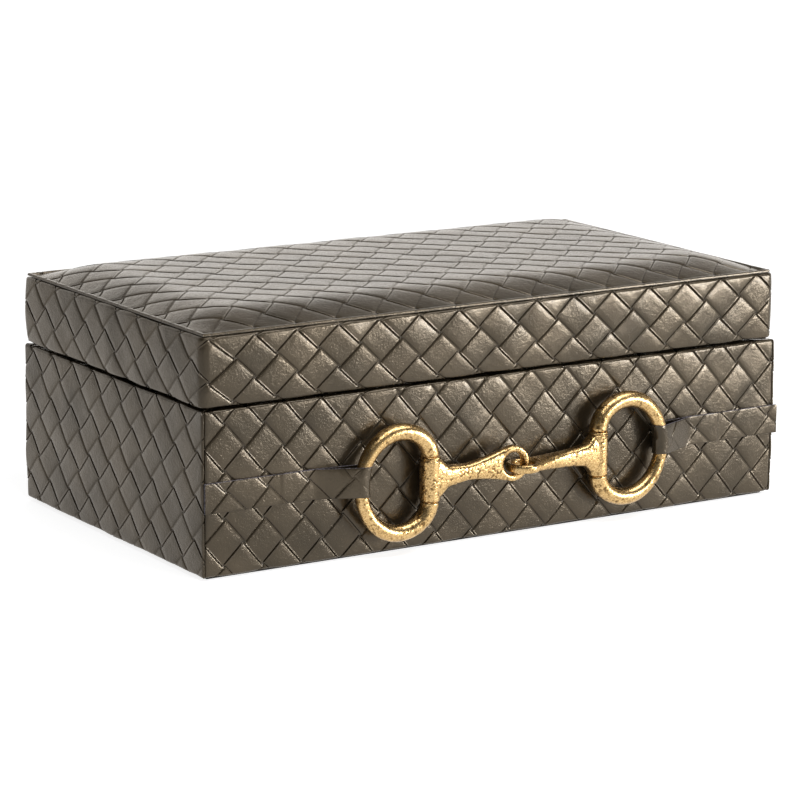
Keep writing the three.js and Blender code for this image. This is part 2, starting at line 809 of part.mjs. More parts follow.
function addBit() {
  const swing = THREE.MathUtils.degToRad(armSwing);
  const leftRing = place('left_ring', ring(), castBrass);
  leftRing.position.set(bitCentreX - ringTopSpan, bitY, bitHeight);
  const rightRing = place('right_ring', ring(), castBrass);
  rightRing.position.set(bitCentreX + ringTopSpan, bitY, bitHeight);
  rightRing.rotation.z = Math.PI;
  const leftArm = place('left_arm', arm(true, leftEyeHalf, leftEyeRise), castBrass);
  leftArm.position.set(bitCentreX - barrelSpan, bitY, bitHeight);
  leftArm.rotation.z = -swing;
  const rightArm = place('right_arm', arm(false, rightEyeHalf, rightEyeRise), castBrass);
  rightArm.position.set(bitCentreX + barrelSpan, bitY, bitHeight);
  rightArm.rotation.z = Math.PI + swing;
}

// Straps

// A strap seen from above: flat on the front, then split in two layers round the ring's wire.
// Run is the distance from its end, and lift the distance out from the front.
function strap(side, endSpan) {
  const loopX = bitCentreX + side * ringPivotX;
  const run = Math.abs(side * endSpan - loopX);
  const topEdge = strapHeight + strapWidth / 2;
  const thickest = wireRadius(true, topEdge - bitHeight);
  const hole = thickest + ringSag(topEdge) / 2 + strapFit;
  const outer = hole + strapThickness;
  const lift = bitStandOff;
  const at = (along, out) => new THREE.Vector2(side * (endSpan - along), -halfDepth - out);
  const tilt = Math.atan2(lift + outer - strapThickness, strapRise);
  const loop = (radius) => arcPoints(run, lift, radius, -Math.PI / 2, Math.PI / 2 + tilt, loopSteps);
  const flat = run - strapRise;
  const outline = [at(0, 0), at(flat, 0)];
  outline.push(...loop(outer).map((p) => at(p.x, p.y)));
  outline.push(at(flat, strapThickness), at(0, strapThickness));
  const shape = new THREE.Shape(outline);
  const opening = [at(flat + strapSplit, strapThickness + strapFit)];
  opening.push(...loop(hole).map((p) => at(p.x, p.y)));
  shape.holes.push(new THREE.Path(opening.reverse()));
  const geometry = new THREE.ExtrudeGeometry(shape, { depth: strapWidth, bevelEnabled: false });
  geometry.translate(0, 0, strapHeight - strapWidth / 2);
  return geometry;
}

function addStraps() {
  place('left_strap', strap(-1, halfLength - strapLeftShortfall), wovenLeather);
  place('right_strap', strap(1, halfLength + strapRightOverhang), wovenLeather);
}

addFelt();
addBaseBoards();
addBaseCovers();
addBaseLinings();
addLidBoards();
addLidCover();
addLidLinings();
addPad();
addHinges();
addStraps();
addBit();

export default part;
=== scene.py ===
import math

import bpy
import numpy as np
from mathutils import Matrix, Vector, noise


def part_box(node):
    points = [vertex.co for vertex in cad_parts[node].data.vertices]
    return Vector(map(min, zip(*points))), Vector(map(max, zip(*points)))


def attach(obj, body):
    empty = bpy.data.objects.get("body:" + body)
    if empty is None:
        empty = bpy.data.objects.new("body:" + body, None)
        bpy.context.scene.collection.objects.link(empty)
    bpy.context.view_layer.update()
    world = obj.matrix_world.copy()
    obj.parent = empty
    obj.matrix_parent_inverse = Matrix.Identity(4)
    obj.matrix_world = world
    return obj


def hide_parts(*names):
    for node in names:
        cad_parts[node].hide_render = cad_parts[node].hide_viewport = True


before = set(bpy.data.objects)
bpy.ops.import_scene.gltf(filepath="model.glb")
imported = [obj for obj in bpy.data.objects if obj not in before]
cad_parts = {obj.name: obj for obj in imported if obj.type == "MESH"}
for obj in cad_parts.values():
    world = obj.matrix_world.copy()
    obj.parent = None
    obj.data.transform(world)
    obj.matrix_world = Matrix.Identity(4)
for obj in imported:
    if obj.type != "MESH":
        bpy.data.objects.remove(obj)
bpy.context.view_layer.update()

# The view: a long lens on a stand at the box's left front corner, looking slightly down on it. Its place,
# turn and focal length were solved from the box's straight edges.
MM = 0.001
view_azimuth = math.radians(-32.301)
view_elevation = math.radians(12.486)
view_roll = math.radians(0.357)
view_distance = 1563.5 * MM
view_middle = Vector((0, 0, 52 * MM))
view_offset_right = -0.8 * MM
view_offset_up = -6.55 * MM
lens_length = 154.0

to_camera = Vector((
    math.sin(view_azimuth) * math.cos(view_elevation),
    -math.cos(view_azimuth) * math.cos(view_elevation),
    math.sin(view_elevation),
))
level_right = Vector((math.cos(view_azimuth), math.sin(view_azimuth), 0))
level_up = to_camera.cross(level_right)
camera_right = level_right * math.cos(view_roll) + level_up * math.sin(view_roll)
camera_up = level_up * math.cos(view_roll) - level_right * math.sin(view_roll)
camera_place = (view_middle + camera_right * view_offset_right + camera_up * view_offset_up
                + to_camera * view_distance)
bpy.ops.object.camera_add(location=camera_place)
camera = bpy.context.object
camera.rotation_euler = Matrix((camera_right, camera_up, to_camera)).transposed().to_euler()
camera.data.lens = lens_length
camera.data.clip_end = 20
bpy.context.scene.camera = camera
bpy.context.scene.view_settings.view_transform = "Standard"


# The studio: a sheet of white paper under the box, a white room round it, and two soft boxes, one at the
# front right and one above. It isn't part of the box.
def linear(hex_colour):
    """An sRGB hex colour as the linear values that a shader takes."""
    channels = [int(hex_colour[i:i + 2], 16) / 255 for i in (1, 3, 5)]
    return tuple(c / 12.92 if c <= 0.04045 else ((c + 0.055) / 1.055) ** 2.4 for c in channels) + (1,)


def add_node(tree, kind, inputs=None, **settings):
    """Adds a shader node with its settings, and fills its inputs with values or links."""
    made = tree.nodes.new("ShaderNode" + kind)
    for name, value in settings.items():
        setattr(made, name, value)
    for name, value in (inputs or {}).items():
        if isinstance(value, bpy.types.NodeSocket):
            tree.links.new(value, made.inputs[name])
        else:
            made.inputs[name].default_value = value
    return made


def new_finish(name, **values):
    """A material named for its finish, with the constant values on the shader's own sockets."""
    material = bpy.data.materials.new(name)
    material.use_nodes = True
    tree = material.node_tree
    shader = tree.nodes["Principled BSDF"]
    for socket, value in values.items():
        shader.inputs[socket.replace("_", " ")].default_value = value
    return material, tree, shader


def select_only(piece):
    bpy.ops.object.select_all(action="DESELECT")
    piece.select_set(True)
    bpy.context.view_layer.objects.active = piece


# Matt card: white where the camera or a reflection sees it, and greyer as a source of light on the box.
paper_radius = 1.15
paper_brightness = 0.84
paper, tree, shader = new_finish("white_paper", Roughness=0.9, Base_Color=linear("#bcbcbc"),
                                 Specular_IOR_Level=0.1, Emission_Color=(1, 1, 1, 1))
ray = add_node(tree, "LightPath")
seen = add_node(tree, "Math", {0: ray.outputs["Is Camera Ray"], 1: ray.outputs["Is Glossy Ray"]},
                operation="MAXIMUM")
seen_too = add_node(tree, "Math", {0: seen.outputs["Value"], 1: ray.outputs["Is Transmission Ray"]},
                    operation="MAXIMUM")
glow = add_node(tree, "Math", {0: seen_too.outputs["Value"], 1: paper_brightness}, operation="MULTIPLY")
tree.links.new(glow.outputs["Value"], shader.inputs["Emission Strength"])
bpy.ops.mesh.primitive_circle_add(vertices=96, radius=paper_radius, fill_type="NGON", location=(0, 0, 0))
floor = bpy.context.object
floor.name = "studio_floor"
floor.data.materials.append(paper)

# The room: bright towards the front, dim overhead, behind and to the left, and white past the box.
world = bpy.data.worlds.new("studio")
bpy.context.scene.world = world
world.use_nodes = True
world_tree = world.node_tree
world_tree.nodes.clear()
sky = add_node(world_tree, "TexCoord")
sky_parts = add_node(world_tree, "SeparateXYZ", {"Vector": sky.outputs["Generated"]})
wall_to_ceiling = add_node(world_tree, "MapRange", {
    "Value": sky_parts.outputs["Z"], "From Min": 0.25, "From Max": 0.65, "To Min": 1.0, "To Max": 0.28,
})
rear_to_front = add_node(world_tree, "MapRange", {
    "Value": sky_parts.outputs["Y"], "From Min": -0.3, "From Max": 0.5, "To Min": 0.27, "To Max": 1.55,
})
left_to_right = add_node(world_tree, "MapRange", {
    "Value": sky_parts.outputs["X"], "From Min": -0.8, "From Max": 0.1, "To Min": 0.25, "To Max": 1.0,
})
two_walls = add_node(world_tree, "Math", {0: left_to_right.outputs["Result"],
                                          1: rear_to_front.outputs["Result"]}, operation="MULTIPLY")
room = add_node(world_tree, "Math", {0: wall_to_ceiling.outputs["Result"],
                                     1: two_walls.outputs["Value"]}, operation="MULTIPLY")
view_ray = add_node(world_tree, "LightPath")
room_or_white = add_node(world_tree, "Math", {0: room.outputs["Value"], 1: view_ray.outputs["Is Camera Ray"]},
                         operation="MAXIMUM")
wall_light = add_node(world_tree, "Background", {"Color": (1, 1, 1, 1),
                                                 "Strength": room_or_white.outputs["Value"]})
add_node(world_tree, "OutputWorld", {"Surface": wall_light.outputs["Background"]})


lamp_aim = Vector((0, 0, 50 * MM))


def soft_box(name, place, width, height, power):
    """A rectangular studio light that faces the middle of the box."""
    bpy.ops.object.light_add(type="AREA", location=place)
    lamp = bpy.context.object
    lamp.name = name
    lamp.data.shape = "RECTANGLE"
    lamp.data.size = width
    lamp.data.size_y = height
    lamp.data.energy = power
    lamp.rotation_euler = (Vector(place) - lamp_aim).to_track_quat("Z", "Y").to_euler()


soft_box("key_light", place=(1.0, -1.15, 0.17), width=0.45, height=0.28, power=17.5)
soft_box("top_light", place=(0.1, -0.4, 0.8), width=0.9, height=0.25, power=5.5)


# The boards: medium density fibreboard, sawn and butted together with glue. The leather and suede hide
# them all, so the plain solids stay. The board is dull and tan, mottled by its pressed fibres.
board_finish, tree, shader = new_finish("fibreboard", Roughness=0.85)
place = add_node(tree, "TexCoord")
fibre = add_node(tree, "TexNoise", {"Vector": place.outputs["Object"], "Scale": 1 / (1.5 * MM), "Detail": 3})
shade = add_node(tree, "ValToRGB", {"Fac": fibre.outputs["Fac"]})
shade.color_ramp.elements[0].color = linear("#8f7350")
shade.color_ramp.elements[1].color = linear("#b3946b")
tree.links.new(shade.outputs["Color"], shader.inputs["Base Color"])


def refinish(node_name, material):
    """Gives a piece of the frame its material."""
    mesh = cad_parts[node_name].data
    mesh.materials.clear()
    mesh.materials.append(material)


for node_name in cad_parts:
    if node_name.endswith("_board"):
        refinish(node_name, board_finish)


# The covers of the base: imitation leather in dark pewter, embossed with a diagonal basket weave.
# Four strips are glued round the boards. The two end strips wrap the corners, and the front and rear
# strips stop short of them with a soft folded edge.
leather = 1.2 * MM
glue_line = 0.1 * MM
board_thickness = 8 * MM
turn_in = 8 * MM
turn_over = 12 * MM
wall_width = leather + glue_line + board_thickness + glue_line + leather
base_low, base_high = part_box("base_front_cover")[0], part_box("base_rear_cover")[1]
base_half_length = base_high.x
base_half_depth = base_high.y
rim_height = base_high.z
foot_height = base_low.z
rim_radius = 1.35 * MM
base_corner_radius = 1.15 * MM
tight_radius = 0.08 * MM
quarter = math.pi / 2
arc_samples = 24
arc_folds = 4
smooth_angle = math.radians(40)

# The hinge leaves' seats in the rear rims, and the hand-made unevenness of a glued cover
hinge_middle = 95 * MM
leaf_seat_half = 14.3 * MM
leaf_seat_reach = 8.9 * MM
leaf_seat_depth = 0.9 * MM
leaf_seat_wall = 0.15 * MM
leaf_seat_edges = [end * leaf_seat_half + wall for end in (-1, 1) for wall in (0, end * leaf_seat_wall)]
wall_crown = 0.42 * MM
wander_size = 14 * MM
wander_height = 0.48 * MM
wander_sink = 0.2 * MM

# The weave's relief: a strip's folded sides lap over its neighbours, and its ends dip under them. The lip's
# distances from the strip's side and its depths there are in mm, as is the distance of the next grid line.
strip_lap = 0.6 * MM
node_reach = 0.6 * MM
weave_dip = 0.45 * MM
tuck_reach = 2.6 * MM
bank_reach = 0.8 * MM
bank_share = 0.7
bank_power = 1.3
pillow = 0.06 * MM
lip_distances = (0, 0.12, 0.3, 0.6, 1.0)
lip_depths = (-0.45, -0.16, 0.07, -0.08, 0.0)
lip_narrowing_share = 0.45
soft_distance = 3.3
tile_steps = 2 * (len(lip_distances) + 1)


def fold_path(start, heading, moves):
    """A strip's section in the plane of its inward distance and height: straight runs and turns. Each move
    is ("run", length) or ("turn", radius, angle), by a quarter if no angle is given, clockwise unless the
    radius is below zero. Returns distances along the path with the place and heading there, and the
    distances at which the strip needs a fold line."""
    rows = [(0.0, start[0], start[1], heading)]
    folds = []
    for kind, size, *span in moves:
        travelled, w, z, angle = rows[-1]
        if kind == "run":
            rows.append((travelled + size, w + size * math.cos(angle), z + size * math.sin(angle), angle))
            continue
        turning = span[0] if span else quarter
        centre_w = w + size * math.sin(angle)
        centre_z = z - size * math.cos(angle)
        for i in range(1, arc_samples + 1):
            turned = angle - math.copysign(turning, size) * i / arc_samples
            rows.append((travelled + abs(size) * turning * i / arc_samples,
                         centre_w - size * math.sin(turned), centre_z + size * math.cos(turned), turned))
        folds += [travelled + abs(size) * turning * i / arc_folds for i in range(arc_folds + 1)]
    table = np.array(rows).T
    return table, np.array(folds)


def round_the_box(u, w, half_x, half_y, radius, centre_x=0.0):
    """Where a strip lies that runs round the box with rounded corners: u is the distance along the outer
    face from the middle of the front, w the depth under that face."""
    long, short, turn = half_x - radius, half_y - radius, radius * quarter
    tight = np.maximum(radius - w, tight_radius)
    slack = radius - w - tight
    x, y = np.zeros_like(u), np.zeros_like(u)
    side_middle = long + turn + short
    back_middle = 2 * side_middle
    for middle, half, span, heading in (
        (0, long, short + radius, 0), (side_middle, short, long + radius, quarter),
        (-side_middle, short, long + radius, -quarter),
        (back_middle, long, short + radius, 2 * quarter), (-back_middle, long, short + radius, -2 * quarter),
    ):
        here = np.abs(u - middle) <= half + 1e-9
        along = (u - middle) / half * (half + slack)
        out = span - w
        x = np.where(here, math.sin(heading) * out + math.cos(heading) * along, x)
        y = np.where(here, -math.cos(heading) * out + math.sin(heading) * along, y)
    for start, heading, side_x, side_y in (
        (long, 0, 1, -1), (side_middle + short, quarter, 1, 1),
        (-long - turn, -quarter, -1, -1), (-side_middle - short - turn, -2 * quarter, -1, 1),
    ):
        here = (u > start) & (u < start + turn)
        angle = heading + (u - start) / radius
        x = np.where(here, side_x * (long + slack) + np.sin(angle) * tight, x)
        y = np.where(here, side_y * (short + slack) - np.cos(angle) * tight, y)
    return x + centre_x, y


def lip_scale(share):
    """The folded edge of a strip is widest midway between two crossings."""
    return 1 - lip_narrowing_share * (2 * share - 1) ** 2


def spread_steps(share, other, spacing):
    """The shares across a tile at which its points lie, drawn together along its two edges."""
    step = np.round(share * tile_steps).astype(int)
    from_edge = np.minimum(step, tile_steps - step)
    near = np.array([*lip_distances, soft_distance]) * MM / spacing
    scaled = near[np.minimum(from_edge, len(near) - 1)]
    scaled = scaled * np.where(from_edge < len(lip_distances), lip_scale(other), 1)
    scaled = np.where(from_edge == len(near), 0.5, scaled)
    return np.where(step <= tile_steps // 2, scaled, 1 - scaled)


def points_of(piece):
    """The points of a piece's mesh, one in each row."""
    points = np.zeros(len(piece.data.vertices) * 3)
    piece.data.vertices.foreach_get("co", points)
    return points.reshape(-1, 3)


def move_points(piece, points):
    piece.data.vertices.foreach_set("co", np.ascontiguousarray(points, dtype=np.float32).ravel())
    piece.data.update()


def apply_modifier(piece, kind, **settings):
    """Adds a modifier with its settings to the active piece, and applies it."""
    modifier = piece.modifiers.new(kind.lower(), kind)
    for name, value in settings.items():
        setattr(modifier, name, value)
    bpy.ops.object.modifier_apply(modifier=modifier.name)


def woven_tile(name, weave, column, row):
    """One crossing of two strips, as a grid shaped flat: its strip on top runs down to the right where
    column + row is odd, and up to the right otherwise. The top strip's sides are folded lips that stand
    over their neighbours, and its ends dip softly under them."""
    origin, rising, falling = (np.array(v) * MM for v in weave)
    cell = abs(rising[0] * falling[1] - rising[1] * falling[0])
    up_width = cell / np.linalg.norm(falling)
    down_width = cell / np.linalg.norm(rising)
    bpy.ops.object.select_all(action="DESELECT")
    bpy.ops.mesh.primitive_grid_add(x_subdivisions=tile_steps, y_subdivisions=tile_steps, size=1)
    tile = bpy.context.object
    tile.name = name
    grid = points_of(tile) + 0.5
    up = spread_steps(grid[:, 0], grid[:, 1], up_width)
    down = spread_steps(grid[:, 1], grid[:, 0], down_width)
    up_edge = np.minimum(up, 1 - up) * up_width
    down_edge = np.minimum(down, 1 - down) * down_width
    falls = (column + row) % 2 == 1
    sign = 1 if falls else -1
    off_node = [np.clip(edge / node_reach, 0, 1) for edge in (down_edge, up_edge)]
    ups = column + up + sign * strip_lap / up_width * (2 * up - 1) * off_node[0]
    downs = row + down - sign * strip_lap / down_width * (2 * down - 1) * off_node[1]
    across, along, other = (up_edge, down_edge, grid[:, 1]) if falls else (down_edge, up_edge, grid[:, 0])
    crisp = np.interp(across / lip_scale(other), np.array(lip_distances) * MM, np.array(lip_depths) * MM)
    soft = (bank_share * np.clip(1 - along / bank_reach, 0, 1) ** bank_power
            + (1 - bank_share) * np.clip(1 - along / tuck_reach, 0, 1) ** 2)
    swell = pillow * 4 * up * (1 - up) * 4 * down * (1 - down)
    depth = np.maximum(-weave_dip, crisp * (1 - soft) - weave_dip * soft) + swell
    x, y = (origin[i] + ups * rising[i] + downs * falling[i] for i in (0, 1))
    move_points(tile, np.stack([x, y, depth], 1))
    return tile


def bisect(plane_place, normal, clear=False):
    """Cuts the selected mesh in edit mode along a plane, and drops what lies beyond it if clear is set."""
    bpy.ops.mesh.select_all(action="SELECT")
    bpy.ops.mesh.bisect(plane_co=plane_place, plane_no=normal, clear_outer=clear, threshold=0.00001)


def woven_sheet(name, weave, across, up, folds_u=(), folds_v=()):
    """A flat sheet of woven leather, from across[0] to across[1] and from up[0] to up[1]: two tiles are
    copied over it, cut to its edges and scored along its fold lines. A weave is the place of a crossing and
    the steps to the next one up and down to the right, in mm."""
    origin, rising, falling = (np.array(v) for v in weave)
    step_h, step_v = rising + falling, rising - falling
    corners = np.array([(x / MM, y / MM) for x in across for y in up]) - origin
    counts = np.linalg.solve(np.stack([step_h, step_v], 1), corners.T)
    first = np.floor(counts.min(1)) - 1
    last = np.ceil(counts.max(1)) + 1
    moved = (origin + first[0] * step_h + first[1] * step_v, rising, falling)
    lower = woven_tile(name + "_under", moved, 0, 0)
    sheet = woven_tile(name, moved, 0, -1)
    lower.select_set(True)
    sheet.select_set(True)
    bpy.context.view_layer.objects.active = sheet
    bpy.ops.object.join()
    for count, step in zip(last - first, (step_h, step_v)):
        apply_modifier(sheet, "ARRAY", count=int(count) + 1, use_relative_offset=False,
                       use_constant_offset=True, constant_offset_displace=(step[0] * MM, step[1] * MM, 0))
    bpy.ops.object.mode_set(mode="EDIT")
    bpy.ops.mesh.select_all(action="SELECT")
    bpy.ops.mesh.remove_doubles(threshold=0.02 * MM)
    bpy.ops.mesh.flip_normals()
    bisect((across[0], 0, 0), (-1, 0, 0), clear=True)
    bisect((across[1], 0, 0), (1, 0, 0), clear=True)
    bisect((0, up[0], 0), (0, -1, 0), clear=True)
    bisect((0, up[1], 0), (0, 1, 0), clear=True)
    for u in folds_u:
        if across[0] < u < across[1]:
            bisect((u, 0, 0), (1, 0, 0))
    for v in folds_v:
        if up[0] < v < up[1]:
            bisect((0, v, 0), (0, 1, 0))
    bpy.ops.object.mode_set(mode="OBJECT")
    return sheet


def thicken(sheet, thickness=leather, edge_material=0):
    """Gives a flat sheet its thickness, with a smooth back. Returns its places and how many lie on top."""
    select_only(sheet)
    top_count = len(sheet.data.vertices)
    apply_modifier(sheet, "SOLIDIFY", thickness=thickness, offset=-1, material_offset_rim=edge_material)
    places = points_of(sheet)
    places[top_count:, :2] = places[:top_count, :2]
    places[top_count:, 2] = -thickness
    return places, top_count


def groove_depths(depth, top_count):
    """How deep each place lies in the weave's grooves, from 0 to 1, which sets the painted shade there. The
    hidden back counts as deep.
    """
    painted_shade = np.clip(-depth / weave_dip, 0, 1)
    painted_shade[top_count:] = 1
    return painted_shade


def set_places(piece, places, painted_shade=None):
    """Moves every point of a piece, and notes how deep each lies in the weave, for the painted shade in its
    material.
    """
    move_points(piece, places)
    if painted_shade is not None:
        layer = piece.data.attributes.new("painted_shade", "FLOAT", "POINT")
        layer.data.foreach_set("value", painted_shade.astype(np.float32))
    select_only(piece)
    bpy.ops.object.shade_smooth_by_angle(angle=smooth_angle)


def unevenness(places, size, height, seed):
    """A slow wander of the surface, such as hand pressure leaves in leather over board."""
    wave = [noise.noise(Vector((p[0] / size, p[1] / size, seed))) for p in places]
    return height * np.array(wave)


# Embossed vinyl under a metallic film, its tone clouded at random: soft broad highlights on the strips, and
# painted shade in the grooves.
# Its pores and creases are drawn coarser than they are, so that they show.
embossed_leather, tree, shader = new_finish(
    "embossed_pewter_leatherette", Roughness=0.26, Metallic=0.5, Specular_Tint=linear("#fff7ec"),
    Coat_Weight=0.12, Coat_Roughness=0.18)
place = add_node(tree, "TexCoord")
cloud = add_node(tree, "TexNoise", {"Vector": place.outputs["Object"], "Scale": 1 / (26 * MM), "Detail": 2})
tone = add_node(tree, "ValToRGB", {"Fac": cloud.outputs["Fac"]})
tone.color_ramp.elements[0].position = 0.3
tone.color_ramp.elements[0].color = linear("#3a3225")
tone.color_ramp.elements[1].position = 0.7
tone.color_ramp.elements[1].color = linear("#4e4435")
# Painted shade: the deeper a place lies in the weave's grooves, and along a strap's long edges, the more its
# colour is darkened towards a near black brown.
painted_shade = add_node(tree, "Attribute", attribute_name="painted_shade")
painted_shade_share = add_node(tree, "MapRange", {
    "Value": painted_shade.outputs["Fac"], "From Min": 0.45, "From Max": 0.95, "To Min": 0.0, "To Max": 0.7,
})
dark = add_node(tree, "Mix", {"Factor": painted_shade_share.outputs["Result"], "A": tone.outputs["Color"],
                              "B": linear("#1f1a13")}, data_type="RGBA")
tree.links.new(dark.outputs["Result"], shader.inputs["Base Color"])
pores = add_node(tree, "TexNoise", {"Vector": place.outputs["Object"], "Scale": 1 / (0.95 * MM), "Detail": 3,
                                    "Roughness": 0.6, "Distortion": 0.6})
creases = add_node(tree, "TexNoise", {"Vector": place.outputs["Object"], "Scale": 1 / (4.5 * MM), "Detail": 3,
                                      "Distortion": 0.8})
grain = add_node(tree, "Math", {0: pores.outputs["Fac"], 1: creases.outputs["Fac"]}, operation="ADD")
skin = add_node(tree, "Bump", {"Height": grain.outputs["Value"], "Strength": 0.65, "Distance": 0.2 * MM})
tree.links.new(skin.outputs["Normal"], shader.inputs["Normal"])


def base_section():
    """The section of a base cover, from the edge under the box, up the wall and over the rim: its path, its
    folds, the flat sheet's lowest height, and the heights between which it lies on the wall."""
    height = rim_height - foot_height
    moves = [
        ("run", turn_over - rim_radius), ("turn", rim_radius), ("run", height - 2 * rim_radius),
        ("turn", rim_radius), ("run", wall_width - 2 * rim_radius), ("turn", rim_radius),
        ("run", turn_in - rim_radius),
    ]
    table, folds = fold_path((turn_over, foot_height), 2 * quarter, moves)
    lowest = foot_height + rim_radius - (turn_over - rim_radius + rim_radius * quarter)
    rim_start = turn_over + height + 2 * rim_radius * quarter - 3 * rim_radius
    seat_edge = rim_start + leaf_seat_reach - rim_radius
    folds = np.concatenate([folds, [seat_edge, seat_edge + leaf_seat_wall]])
    return table, folds, lowest, foot_height + rim_radius, rim_height - rim_radius


def press_seats(x, y, z, level, press):
    """Presses the leather down under the four leaves of the hinges, which lie sunk in the rear rims."""
    rear = y > base_half_depth - leaf_seat_reach
    under = rear & (np.abs(np.abs(x) - hinge_middle) < leaf_seat_half)
    return np.where(under, press(z, level), z)


def wrap(sheet, section, half_x, half_y, radius, seat, seed, centre_x=0.0, soft_end=0.0, pitch=None):
    """Thickens a flat sheet and folds it round the box. Returns how many of its points lie on top."""
    table, _, lowest, wall_low, wall_high = section
    places, top_count = thicken(sheet)
    ends = places[:, 0].min(), places[:, 0].max()
    flat_u, flat_v, depth = places.T.copy()
    painted_shade = groove_depths(depth, top_count)
    depth[:top_count] += unevenness(places[:top_count], wander_size, wander_height, seed) - wander_sink
    wall_share = np.clip((flat_v - wall_low) / (wall_high - wall_low), 0, 1)
    depth[:top_count] += (wall_crown * (1 - np.abs(2 * wall_share - 1) ** 3))[:top_count]
    if soft_end:
        to_end = np.minimum(flat_u - ends[0], ends[1] - flat_u)
        rounded = soft_end - np.sqrt(np.maximum(soft_end ** 2 - np.maximum(soft_end - to_end, 0) ** 2, 0))
        depth[:top_count] -= rounded[:top_count]
    if pitch is not None:
        flat_u = np.interp(flat_u, pitch[0], pitch[1])
    w, z, heading = (np.interp(flat_v - lowest, table[0], row) for row in table[1:])
    bent = np.abs(np.sin(2 * heading)) > 1e-6
    depth = np.where(bent, np.maximum(depth, tight_radius - rim_radius), depth)
    x, y = round_the_box(flat_u, w - np.sin(heading) * depth, half_x, half_y, radius, centre_x)
    z = press_seats(x, y, z + np.cos(heading) * depth, *seat)
    set_places(sheet, np.stack([x, y, z], 1), painted_shade)
    sheet.data.materials.append(embossed_leather)
    return top_count


section = base_section()
table, folds, strip_low = section[:3]
strip_high = strip_low + table[0][-1]
base_turn = base_corner_radius * quarter
front_half = base_half_length - base_corner_radius
side_half = base_half_depth - base_corner_radius
side_middle = front_half + base_turn + side_half
corner_folds = [side * (side_middle + end * (side_half + base_turn * i / arc_folds))
                for side in (-1, 1) for end in (-1, 1) for i in range(arc_folds + 1)]
seam_gap = 0.1 * MM
soft_edge = 0.95 * MM
soft_folds = (0.05, 0.2, 0.45, 0.7, 0.95)
front_weave = ((-120.39, 65.16), (9.618, 9.403), (9.509, -11.026))
left_weave = ((0.64, 53.68), (10.36, 9.812), (8.895, -9.39))
for name, middle, half, weave, seed in (
    ("base_front_cover", 0, front_half, front_weave, 22),
    ("base_rear_cover", 2 * side_middle, front_half, front_weave, 21),
    ("base_left_cover", -side_middle, side_half + base_turn, left_weave, 21),
    ("base_right_cover", side_middle, side_half + base_turn, left_weave, 22),
):
    start = (weave[0][0] + middle / MM, weave[0][1])
    ends = (middle - half + seam_gap, middle + half - seam_gap)
    edge_folds = [ends[0] + d * MM for d in soft_folds] + [ends[1] - d * MM for d in soft_folds]
    seat_folds = [middle + side * hinge_middle + edge for side in (-1, 1) for edge in leaf_seat_edges]
    cover = woven_sheet("woven_" + name, (start, weave[1], weave[2]), ends, (strip_low, strip_high),
                        corner_folds + edge_folds + seat_folds * (name == "base_rear_cover"),
                        folds + strip_low)
    wrap(cover, section, base_half_length, base_half_depth, base_corner_radius,
         (rim_height - leaf_seat_depth, np.minimum), seed, soft_end=soft_edge)
    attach(cover, "base")
    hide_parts(name)


# The lid's wall cover: one strip of the same leatherette, wrapped round all four sides of the lid with
# rounded corners and closed by a butt seam in the middle of the rear. Its upper edge is folded over the
# lid's top board and its lower edge is turned up inside the rim.
lid_low, lid_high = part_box("lid_wall_cover")
lid_half_length = (lid_high.x - lid_low.x) / 2
lid_half_depth = (lid_high.y - lid_low.y) / 2
lid_centre_x = (lid_high.x + lid_low.x) / 2
lid_rim = lid_low.z
lid_wall_top = lid_high.z
lid_corner_radius = 3.5 * MM
lid_turn = lid_corner_radius * quarter
lid_long = lid_half_length - lid_corner_radius
lid_short = lid_half_depth - lid_corner_radius
lid_side_middle = lid_long + lid_turn + lid_short
lid_strip_end = 2 * lid_side_middle - seam_gap / 2
lid_weave = ((-133.25, 93.89), (10.49, 9.144), (9.732, -9.04))
# The strip was pulled a little on the lid's left side: pairs of one crossing's distances from the middle of
# the front, along the flat strip and along the wrapped one.
left_corner_nodes = (-153.47 * MM, -lid_side_middle + 73 * MM)
left_rear_nodes = (-315.23 * MM, -lid_side_middle - 80.28 * MM)
front_left_node = -133.25 * MM
far = 1.0
lid_pitch_flat = np.array([left_rear_nodes[0] - far, left_rear_nodes[0], left_corner_nodes[0],
                           front_left_node, far])
lid_pitch_real = np.array([left_rear_nodes[1] - far, left_rear_nodes[1], left_corner_nodes[1],
                           front_left_node, far])


def lid_section():
    """The section of the lid's wall cover, from inside the rim, round it, up the wall and over the top, as
    the base covers' section gives it."""
    height = lid_wall_top - lid_rim
    moves = [
        ("run", turn_in - rim_radius), ("turn", rim_radius), ("run", wall_width - 2 * rim_radius),
        ("turn", rim_radius), ("run", height - 2 * rim_radius), ("turn", rim_radius),
        ("run", turn_over - rim_radius),
    ]
    table, folds = fold_path((wall_width, lid_rim + turn_in), 3 * quarter, moves)
    to_wall = turn_in - rim_radius + wall_width - 2 * rim_radius + 2 * rim_radius * quarter
    seat_edge = to_wall - rim_radius * quarter - (leaf_seat_reach - rim_radius)
    folds = np.concatenate([folds, [seat_edge, seat_edge - leaf_seat_wall]])
    return table, folds, lid_rim + rim_radius - to_wall, lid_rim + rim_radius, lid_wall_top - rim_radius


def thin_back(sheet, top_count, share_kept):
    """Thins the grid on the smooth back of a cover, which doesn't need the weave's fine one."""
    back = sheet.vertex_groups.new(name="back")
    back.add(list(range(top_count, len(sheet.data.vertices))), 1.0, "REPLACE")
    apply_modifier(sheet, "DECIMATE", ratio=share_kept, vertex_group=back.name)
    sheet.vertex_groups.clear()


